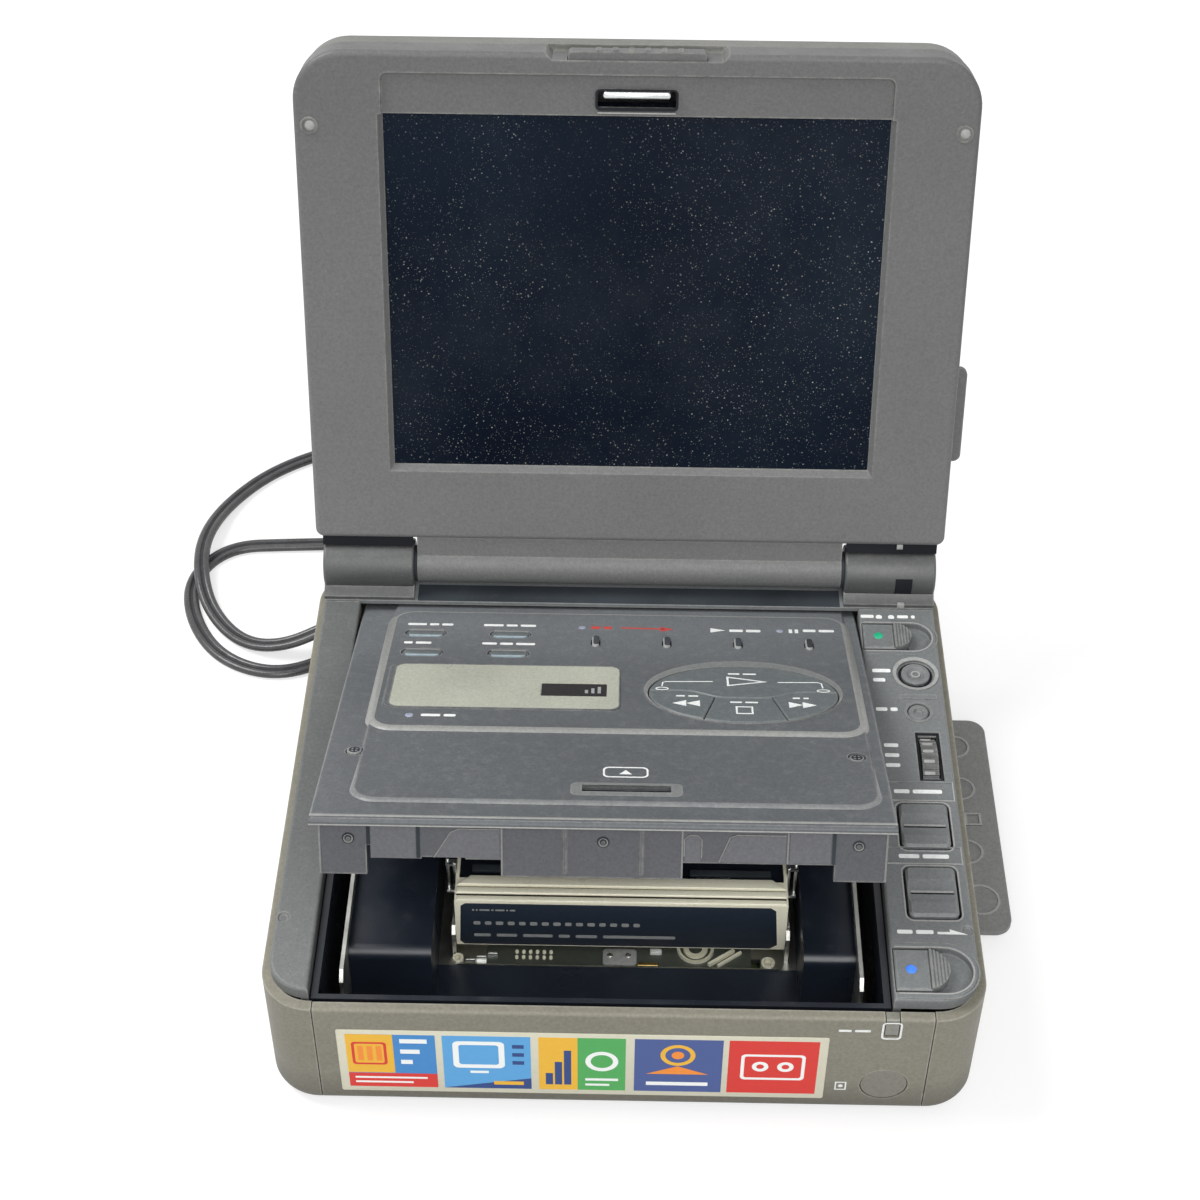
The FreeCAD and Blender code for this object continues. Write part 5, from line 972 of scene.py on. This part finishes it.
def strip_marks():
    marks = Work("strip_print", "cabinet", BASE, ["white", "dim", "dark"], "strip_plastic")
    w0, w1 = STRIP_TOP - 0.05, STRIP_TOP + INK
    marks.dashes(54.9, 114.0, (3.1,), w0, w1, 0, 1.0)
    marks.prism(circle(59.2, 113.8, 0.75, 20), w0, w1)
    marks.prism(circle(62.1, 113.8, 0.75, 20), w0, w1)
    marks.dashes(63.5, 114.0, (2.6, 0.9), w0, w1, 0, 1.0)
    marks.dashes(56.4, 96.0, (4.2,), w0, w1, 0, 1.1)
    marks.dashes(56.4, 93.0, (2.8,), w0, w1, 0, 1.1)
    marks.dashes(56.4, 83.7, (2.6, 1.6), w0, w1, 0, 1.1)
    for v in (72.6, 69.6, 66.6):
        marks.dashes(57.4, v, (3.2,), w0, w1, 0, 1.1)
    for v, u, lengths in ((58.9, 58.6, (3.4, 6.4)), (40.5, 58.2, (4.4, 5.6))):
        marks.dashes(u, v, lengths, w0, w1, 0, 1.1)
    marks.dashes(56.3, 20.2, (3.2, 3.6), w0, w1, 0, 1.0)
    marks.prism([(64.6, 19.7), (70.8, 19.7), (67.2, 21.0), (67.2, 20.3), (64.6, 20.3)], w0, w1)
    marks.done()

    relief = Work("strip_relief", "cabinet", BASE, ["strip", "groove", "soft_light"], "strip_plastic")
    # rings round the two buttons
    relief.ring(circle(66.3, 95.1, 5.3), circle(66.3, 95.1, 4.45), w0, STRIP_TOP + 0.22, 2, STRIP_TOP + 0.02)
    relief.ring(circle(66.3, 95.1, 3.95), circle(66.3, 95.1, 3.5), 35.0, 35.45, 1)
    relief.ring(circle(66.0, 83.0, 3.3), circle(66.0, 83.0, 2.65), w0, STRIP_TOP + 0.12, 0)
    # ledges that frame the printed places, with painted highlights along their lower and right edges
    for v0, v1 in ((56.2, 61.6), (38.4, 42.9)):
        relief.stroke([(55.2, v1), (71.4, v1)], 0.35, w0, STRIP_TOP + 0.16, 0)
        relief.stroke([(55.2, v0), (71.4, v0)], 0.3, w0, STRIP_TOP + 0.18, 2)
        relief.stroke([(71.6, v0 - 0.2), (71.6, v1 + 0.2)], 0.3, w0, STRIP_TOP + 0.14, 2)
    # light rims round the rockers and the wheel: painted highlights
    for v, half in ((48.8, 6.1), (30.5, 6.6)):
        outer = rect(64.4 - 6.1, 64.4 + 6.1, v - half - 0.95, v + half + 0.95, 1.9)
        inner = rect(64.4 - 5.75, 64.4 + 5.75, v - half - 0.6, v + half + 0.6, 1.6)
        relief.ring(outer, inner, w0, STRIP_TOP + 0.14, 2)
    # painted shade in the pocket of the wheel
    relief.ring(rect(64.55, 70.05, 62.1, 76.7), rect(65.25, 69.35, 62.8, 76.0), 35.3, 35.7, 1)
    # rims of the slider pockets
    for low, high in ((102.7, 111.7), (4.8, 16.0)):
        mid, half = (low + high) / 2, (high - low) / 2
        for grow, wide, tall, paint in ((0.25, 0.35, 0.12, 2), (1.35, 0.3, 0.08, 0)):
            path = [(55.4, high + grow)] + arc(71.0 - half, mid, half + grow, 90, -90, 20)
            path.append((55.4, low - grow))
            relief.stroke(path, wide, w0, STRIP_TOP + tall, paint)
    relief.done()

    for name, v, half in (("bright_rocker", 48.8, 6.1), ("sound_rocker", 30.5, 6.6)):
        top = top_of(name)
        rock = Work(name + "_marks", name + "_body", BASE, ["strip", "groove", "soft_light"], "strip_plastic")
        # painted highlight along each rocker's middle ridge, a dark line below it, and light plus and minus marks
        rock.prism(rect(59.9, 68.9, v - 0.35, v + 0.15, 0.2), top - 0.9, top - 0.28, 2)
        rock.prism(rect(59.9, 68.9, v - 0.75, v - 0.35), top - 0.9, top - 0.36, 1)
        rock.prism(rect(63.6, 65.4, v + 3.4, v + 3.75), top - 0.7, top - 0.02, 2)
        rock.prism(rect(64.35, 64.65, v + 2.9, v + 4.3), top - 0.7, top - 0.02, 2)
        rock.prism(rect(63.8, 65.6, v - 3.6, v - 3.25), top - 0.7, top - 0.02, 2)
        rock.done()

    wheel = Work("dial_ridges", "dial_wheel_body", BASE, ["soft_light"], "strip_plastic")
    for i in range(22):
        angle = 2 * math.pi * (i + 0.25) / 22
        out, side = Vector((0, math.cos(angle), math.sin(angle))), Vector((0, -math.sin(angle), math.cos(angle)))
        at = Vector((67.3, 69.4, 26.9)) + out * 9.9
        wheel.where = BASE @ plane_matrix((1, 0, 0), side, out, at)
        wheel.prism(rect(-1.5, 0.9, -0.4, 0.4, 0.2, 3), -0.3, 0.28, 0, 0.08)
    wheel.done()

    flap = Work("flap_rings", "jack_cover_body", BASE, ["soft_light"], "strip_plastic")
    # light rings on the flap's marks: painted highlights
    for y, x, r in ((100.5, 79.1, 3.6), (87.0, 79.1, 3.6), (67.6, 79.1, 3.6), (53.5, 80.6, 4.4)):
        flap.ring(circle(x, y, r, 40), circle(x, y, r - 0.5, 40), 5.7, 5.94, 0)
    flap.ring(rect(79.4, 83.2, 75.6, 79.4), rect(79.9, 82.7, 76.1, 78.9), 5.7, 5.94, 0)
    flap.done()

    centre = Work("round_button_dot", "round_button_body", BASE, ["soft_light"], "strip_plastic")
    dish = top_of("round_button") - 0.6
    centre.ring(circle(66.3, 95.1, 1.1, 24), circle(66.3, 95.1, 0.7, 24), dish - 0.1, dish + 0.35, 0)
    centre.done()

    dot = Work("power_dot", "power_slider_body", BASE, ["green"], "lens")
    top = top_of("power_slider") - 0.5
    dot.prism(circle(58.6, 107.2, 1.1, 24), top - 0.1, top + 0.12, 0, 0.1)
    dot.done()
    dot = Work("eject_dot", "eject_slider_body", BASE, ["blue"], "lens")
    dot.prism(circle(58.4, 10.4, 1.1, 24), top - 0.1, top + 0.12, 0, 0.1)
    dot.done()


strip_marks()


def front_marks():
    w0, w1 = -0.02, INK
    marks = Work("front_print", "cabinet", FRONT, ["white", "dim"], "panel_plastic")
    marks.dashes(43.6, 29.3, (2.6, 3.2), w0, w1, 0, 0.7)
    marks.ring(rect(44.2, 46.6, 8.7, 11.5), rect(44.5, 46.3, 9.0, 11.2), w0, w1, 0)
    marks.prism(circle(45.4, 10.1, 0.5, 16), w0, w1, 0)
    marks.ring(rect(52.3, 56.4, 26.6, 32.2, 0.9), rect(52.7, 56.0, 27.0, 31.9, 0.6), w0, w1, 0)
    marks.done()

    label = Work("front_label", "cabinet", FRONT,
                 ["sticker", "sticker_yellow", "sticker_blue", "sticker_red", "sticker_sky", "sticker_green",
                  "sticker_slate", "sticker_orange", "sticker_white", "sticker_navy"], "plate_metal")
    label.prism(rect(-58.5, 42.0, 5.6, 26.8, 0.5), -0.02, 0.12, 0, 0.08)
    a, b, c, d = 0.1, 0.15, 0.17, 0.19
    v0, v1 = 7.2, 25.4
    # 1: battery bars on yellow and blue, red foot
    label.prism(rect(-56.7, -38.3, v0, v1), a, b, 2)
    label.prism(rect(-56.7, -47.0, 12.2, v1), a, c, 1)
    label.prism(rect(-56.7, -38.3, v0, 12.0), a, c, 3)
    label.ring(rect(-55.6, -48.4, 15.0, 22.8, 0.8), rect(-55.0, -49.0, 15.6, 22.2, 0.5), a, d, 3)
    for i in range(3):
        label.prism(rect(-54.4 + 1.9 * i, -53.2 + 1.9 * i, 16.4, 21.4), a, d, 7)
    for i in range(3):
        label.prism(rect(-45.6, -40.0 - 1.6 * i, 22.6 - 3.6 * i, 24.0 - 3.6 * i), a, d, 8)
    for v, long in ((10.2, 15.0), (8.6, 12.0)):
        label.prism(rect(-55.4, -55.4 + long, v, v + 0.6), a, d, 8)
    # 2: plain screen outline on sky blue
    label.prism(rect(-36.9, -18.8, v0, v1), a, b, 4)
    label.ring(rect(-34.8, -24.2, 14.4, 23.6, 1.2), rect(-33.6, -25.4, 15.6, 22.4, 0.7), a, c, 8)
    label.prism(rect(-31.4, -27.6, 12.6, 13.4), a, c, 8)
    label.prism([(-36.9, v0), (-18.8, v0), (-18.8, 11.0)], a, c, 9)
    for i in range(3):
        label.prism(rect(-22.6, -20.2, 21.4 - 2.8 * i, 22.6 - 2.8 * i), a, d, 9)
    label.prism(rect(-26.6, -20.4, 8.6, 9.8), a, d, 1)
    # 3: steps on yellow and green
    label.prism(rect(-17.2, -9.2, v0, v1), a, b, 1)
    label.prism(rect(-9.2, 0.7, v0, v1), a, b, 5)
    for i in range(3):
        label.prism(rect(-15.8 + 1.9 * i, -14.3 + 1.9 * i, 9.0, 13.0 + 4.0 * i), a, c, 9)
    label.ring(circle(-4.2, 17.4, 3.4), circle(-4.2, 17.4, 2.3), a, c, 8)
    label.prism(rect(-7.6, -0.8, 10.6, 11.4), a, c, 8)
    label.prism(rect(-7.6, -2.6, 8.8, 9.5), a, c, 8)
    # 4: rings and a bar on slate blue
    label.prism(rect(2.5, 20.6, v0, v1), a, b, 6)
    label.prism([(5.0, 13.4), (17.8, 13.4), (11.4, 16.2)], a, c, 7)
    label.ring(circle(11.4, 20.0, 3.6), circle(11.4, 20.0, 2.6), a, c, 1)
    label.prism(circle(11.4, 20.0, 1.3), a, c, 7)
    label.prism(rect(5.0, 17.8, 9.4, 10.6), a, c, 8)
    # 5: reels on red
    label.prism(rect(21.8, 40.2, v0, v1), a, b, 3)
    label.ring(rect(24.4, 37.6, 12.0, 20.8, 1.0), rect(25.1, 36.9, 12.7, 20.1, 0.6), a, c, 8)
    for u in (28.4, 33.6):
        label.ring(circle(u, 16.6, 1.7), circle(u, 16.6, 0.8), a, c, 8)
    label.done()


front_marks()


def holder_dress():
    # The dark plate with rows of dashes, the folded strips on top and the bright side rods
    body = "cassette_holder_body"
    front = BASE @ plane_matrix((1, 0, 0), (0, 0, 1), (0, -1, 0), (0, 32.4, 0))
    label = Work("holder_label", body, front, ["label", "dim", "cream"], "cream_metal")
    label.prism([(-34.6, 13.9), (31.6, 13.9), (33.2, 15.2), (32.4, 26.7), (31.2, 27.7), (-34.0, 27.7),
                 (-35.0, 26.8), (-35.5, 15.0)], -0.02, 0.1, 0, 0.06)
    rows = ((25.6, -32.6, (0.5, 0.4, 2.2, 0.5, 2.0, 0.4, 1.2), 0.5, 0.35),
            (21.2, -32.4, (1.5, 1.4, 1.6, 1.5, 1.4, 1.6, 1.5, 1.6, 1.4, 1.5, 1.6, 1.4, 1.5, 1.6, 1.4), 1.15, 0.95),
            (17.1, -32.4, (3.6, 4.4, 6.4, 2.4, 4.6, 15.6), 0.95, 1.3))
    for v, u, lengths, tall, gap in rows:
        label.dashes(u, v, lengths, 0.05, 0.12, 1, tall, gap)
    label.done()

    top = Work("holder_folds", body, BASE, ["cream", "dark_steel"], "cream_metal")
    for y0, y1, z, inset0, inset1 in ((32.45, 33.8, 28.8, 0.2, 0.2), (34.2, 35.8, 29.2, 0.2, 0.2),
                                      (36.2, 38.8, 29.5, 0.3, 3.0)):
        top.prism([(-36.1 + inset0, y0), (34.7 - inset0, y0), (34.7 - inset1, y1), (-36.1 + inset1, y1)],
                  28.3, z, 0, 0.22)
    for y in (34.0, 36.0):
        top.prism(rect(-35.9, 34.5, y - 0.14, y + 0.14), 28.3, 28.75, 1)
    top.done()

    cover = Work("holder_cover", body, BASE, ["liner", "pale_metal", "shadow"], "liner_plastic")
    cover.prism(rect(-35.55, 34.15, 39.0, 80.0), 27.3, 27.6, 0)
    cover.prism(rect(-33.0, -25.0, 41.0, 43.0, 0.4), 27.5, 28.2, 2, 0.2)
    cover.prism(rect(14.0, 31.5, 40.6, 42.4, 0.4), 27.5, 28.2, 2, 0.2)
    cover.prism(rect(15.2, 22.6, 39.3, 40.3, 0.4), 27.5, 28.3, 1, 0.2)
    cover.done()

    rods = Work("holder_rods", body, BASE, ["pale_metal"], "steel")
    for side, x in ((-1, -36.3), (1, 34.9)):
        for out, y, z0, z1 in ((0.35, 40.6, 21.2, 31.2), (1.9, 41.4, 21.4, 31.6)):
            rods.prism(circle(x + side * out, y, 0.36, 12), z0, z1, 0, 0.15)
        for z in (21.6, 30.4):
            rods.prism(rect(min(x, x + side * 2.3), max(x, x + side * 2.3), 40.3, 41.8), z, z + 0.6, 0)
    rods.done()


holder_dress()


def deck_fittings():
    # Small parts on the chassis plate that show under the holder
    low = 7.8
    parts = Work("deck_fittings", "cabinet", BASE, ["pale_metal", "cream", "brass", "white", "soft_light", "deck_green"], "steel")
    parts.prism(rect(-32.0, 29.8, 30.25, 30.6), low, 9.2, 0)
    parts.prism(rect(-36.6, -32.0, 30.6, 31.0), low, 9.0, 0)
    parts.prism(rect(29.8, 33.8, 30.6, 31.0), low, 9.0, 0)
    parts.prism(rect(-30.0, 28.0, 30.9, 37.0), low, 8.3, 5)
    for i in range(6):
        for j in range(2):
            parts.prism(circle(-23.4 + 1.5 * i, 33.0 + 1.5 * j, 0.4, 12), low, 9.0, 1, 0.15)
    parts.prism(rect(-4.6, 2.9, 31.2, 35.6, 0.9), low, 9.0, 4, 0.25)
    for x in (-3.0, 1.0):
        parts.prism(circle(x, 33.6, 0.7, 16), low, 9.2, 0, 0.2)
    parts.prism(rect(3.1, 7.6, 31.0, 32.0), low, 8.9, 2, 0.2)
    parts.prism(rect(5.8, 8.4, 34.4, 35.6, 0.3), low, 9.2, 3, 0.2)
    parts.ring(circle(15.8, 36.2, 4.1, 40), circle(15.8, 36.2, 3.4, 40), low, 9.2, 1, 8.8)
    parts.ring(circle(15.8, 36.2, 2.7, 40), circle(15.8, 36.2, 1.5, 40), low, 9.1, 1, 8.7)
    parts.stroke([(18.6, 31.6), (24.2, 35.6)], 0.7, low, 9.2, 1)
    parts.stroke([(20.6, 31.4), (25.8, 35.2)], 0.5, low, 9.1, 1)
    for x, r in ((-36.2, 1.2), (31.6, 1.5)):
        parts.ring(circle(x, 32.2, r, 24), circle(x, 32.2, r - 0.5, 24), low, 9.2, 1)
    for i in range(3):
        parts.prism(rect(-34.6 + 2.4 * i, -32.4 + 2.4 * i, 31.6 + 0.9 * i, 32.3 + 0.9 * i), low, 9.2, 0, 0.15)
    parts.done()

    floor_mark = Work("well_mark", "cabinet", BASE, ["groove"], "liner_plastic")
    floor_mark.prism(rect(-10.4, 5.6, 4.6, 11.6, 0.3), 10.7, 10.83, 0)
    floor_mark.done()


deck_fittings()


# Light, floor and view


def background_seen(tree):
    # 1 for what the camera sees, straight, mirrored or through glass; 0 for the light on the object
    path = tree.nodes.new("ShaderNodeLightPath")
    seen = path.outputs["Is Camera Ray"]
    for name in ("Is Glossy Ray", "Is Transmission Ray"):
        either = tree.nodes.new("ShaderNodeMath")
        either.operation = "MAXIMUM"
        tree.links.new(seen, either.inputs[0])
        tree.links.new(path.outputs[name], either.inputs[1])
        seen = either.outputs["Value"]
    return seen


world = bpy.data.worlds.new("soft")
bpy.context.scene.world = world
world.use_nodes = True
tree = world.node_tree
background = tree.nodes["Background"]
background.inputs["Color"].default_value = (1.0, 1.0, 1.0, 1.0)
lift = tree.nodes.new("ShaderNodeMapRange")
lift.inputs["To Min"].default_value = 0.43
lift.inputs["To Max"].default_value = 1.0
tree.links.new(background_seen(tree), lift.inputs["Value"])
tree.links.new(lift.outputs["Result"], background.inputs["Strength"])


def lamp(name, size, energy, place, aim, tint=(1.0, 1.0, 1.0)):
    data = bpy.data.lights.new(name, "AREA")
    data.shape = "DISK"
    data.size = size
    data.energy = energy
    data.color = tint
    obj = bpy.data.objects.new(name, data)
    bpy.context.collection.objects.link(obj)
    obj.location = place
    obj.rotation_euler = (Vector(aim) - Vector(place)).to_track_quat("-Z", "Y").to_euler()


lamp("key", 0.55, 6.8, (-0.55, 0.15, 0.85), (0, 0, 0.03))
lamp("fill", 0.9, 6.8, (0.15, -0.8, 0.85), (0, 0, 0.03))
lamp("low", 0.35, 0.85, (0.05, -0.95, 0.3), (0, 0, 0.02))


def floor():
    mesh = bpy.data.meshes.new("floor")
    bm = bmesh.new()
    size = 3.0
    corners = [bm.verts.new((x, y, 0)) for x, y in ((-size, -size), (size, -size), (size, size), (-size, size))]
    bm.faces.new(corners)
    bm.to_mesh(mesh)
    bm.free()
    material = bpy.data.materials.new("floor")
    material.use_nodes = True
    nodes = material.node_tree.nodes
    links = material.node_tree.links
    shader = nodes["Principled BSDF"]
    shader.inputs["Base Color"].default_value = (0.45, 0.45, 0.45, 1.0)
    shader.inputs["Roughness"].default_value = 0.9
    shader.inputs["Specular IOR Level"].default_value = 0.1
    shader.inputs["Emission Color"].default_value = (1.0, 1.0, 1.0, 1.0)
    # The lamps reach the far floor less, so it glows more there
    far = nodes.new("ShaderNodeVectorMath")
    far.operation = "LENGTH"
    links.new(nodes.new("ShaderNodeTexCoord").outputs["Object"], far.inputs[0])
    glow = nodes.new("ShaderNodeMapRange")
    for name, value in (("From Min", 0.3), ("From Max", 1.1), ("To Min", 0.62), ("To Max", 1.0)):
        glow.inputs[name].default_value = value
    links.new(far.outputs["Value"], glow.inputs["Value"])
    strength = nodes.new("ShaderNodeMath")
    strength.operation = "MULTIPLY"
    links.new(glow.outputs["Result"], strength.inputs[1])
    links.new(background_seen(material.node_tree), strength.inputs[0])
    links.new(strength.outputs["Value"], shader.inputs["Emission Strength"])
    mesh.materials.append(material)
    obj = bpy.data.objects.new("floor", mesh)
    bpy.context.collection.objects.link(obj)


floor()
bpy.context.scene.view_settings.view_transform = "Standard"
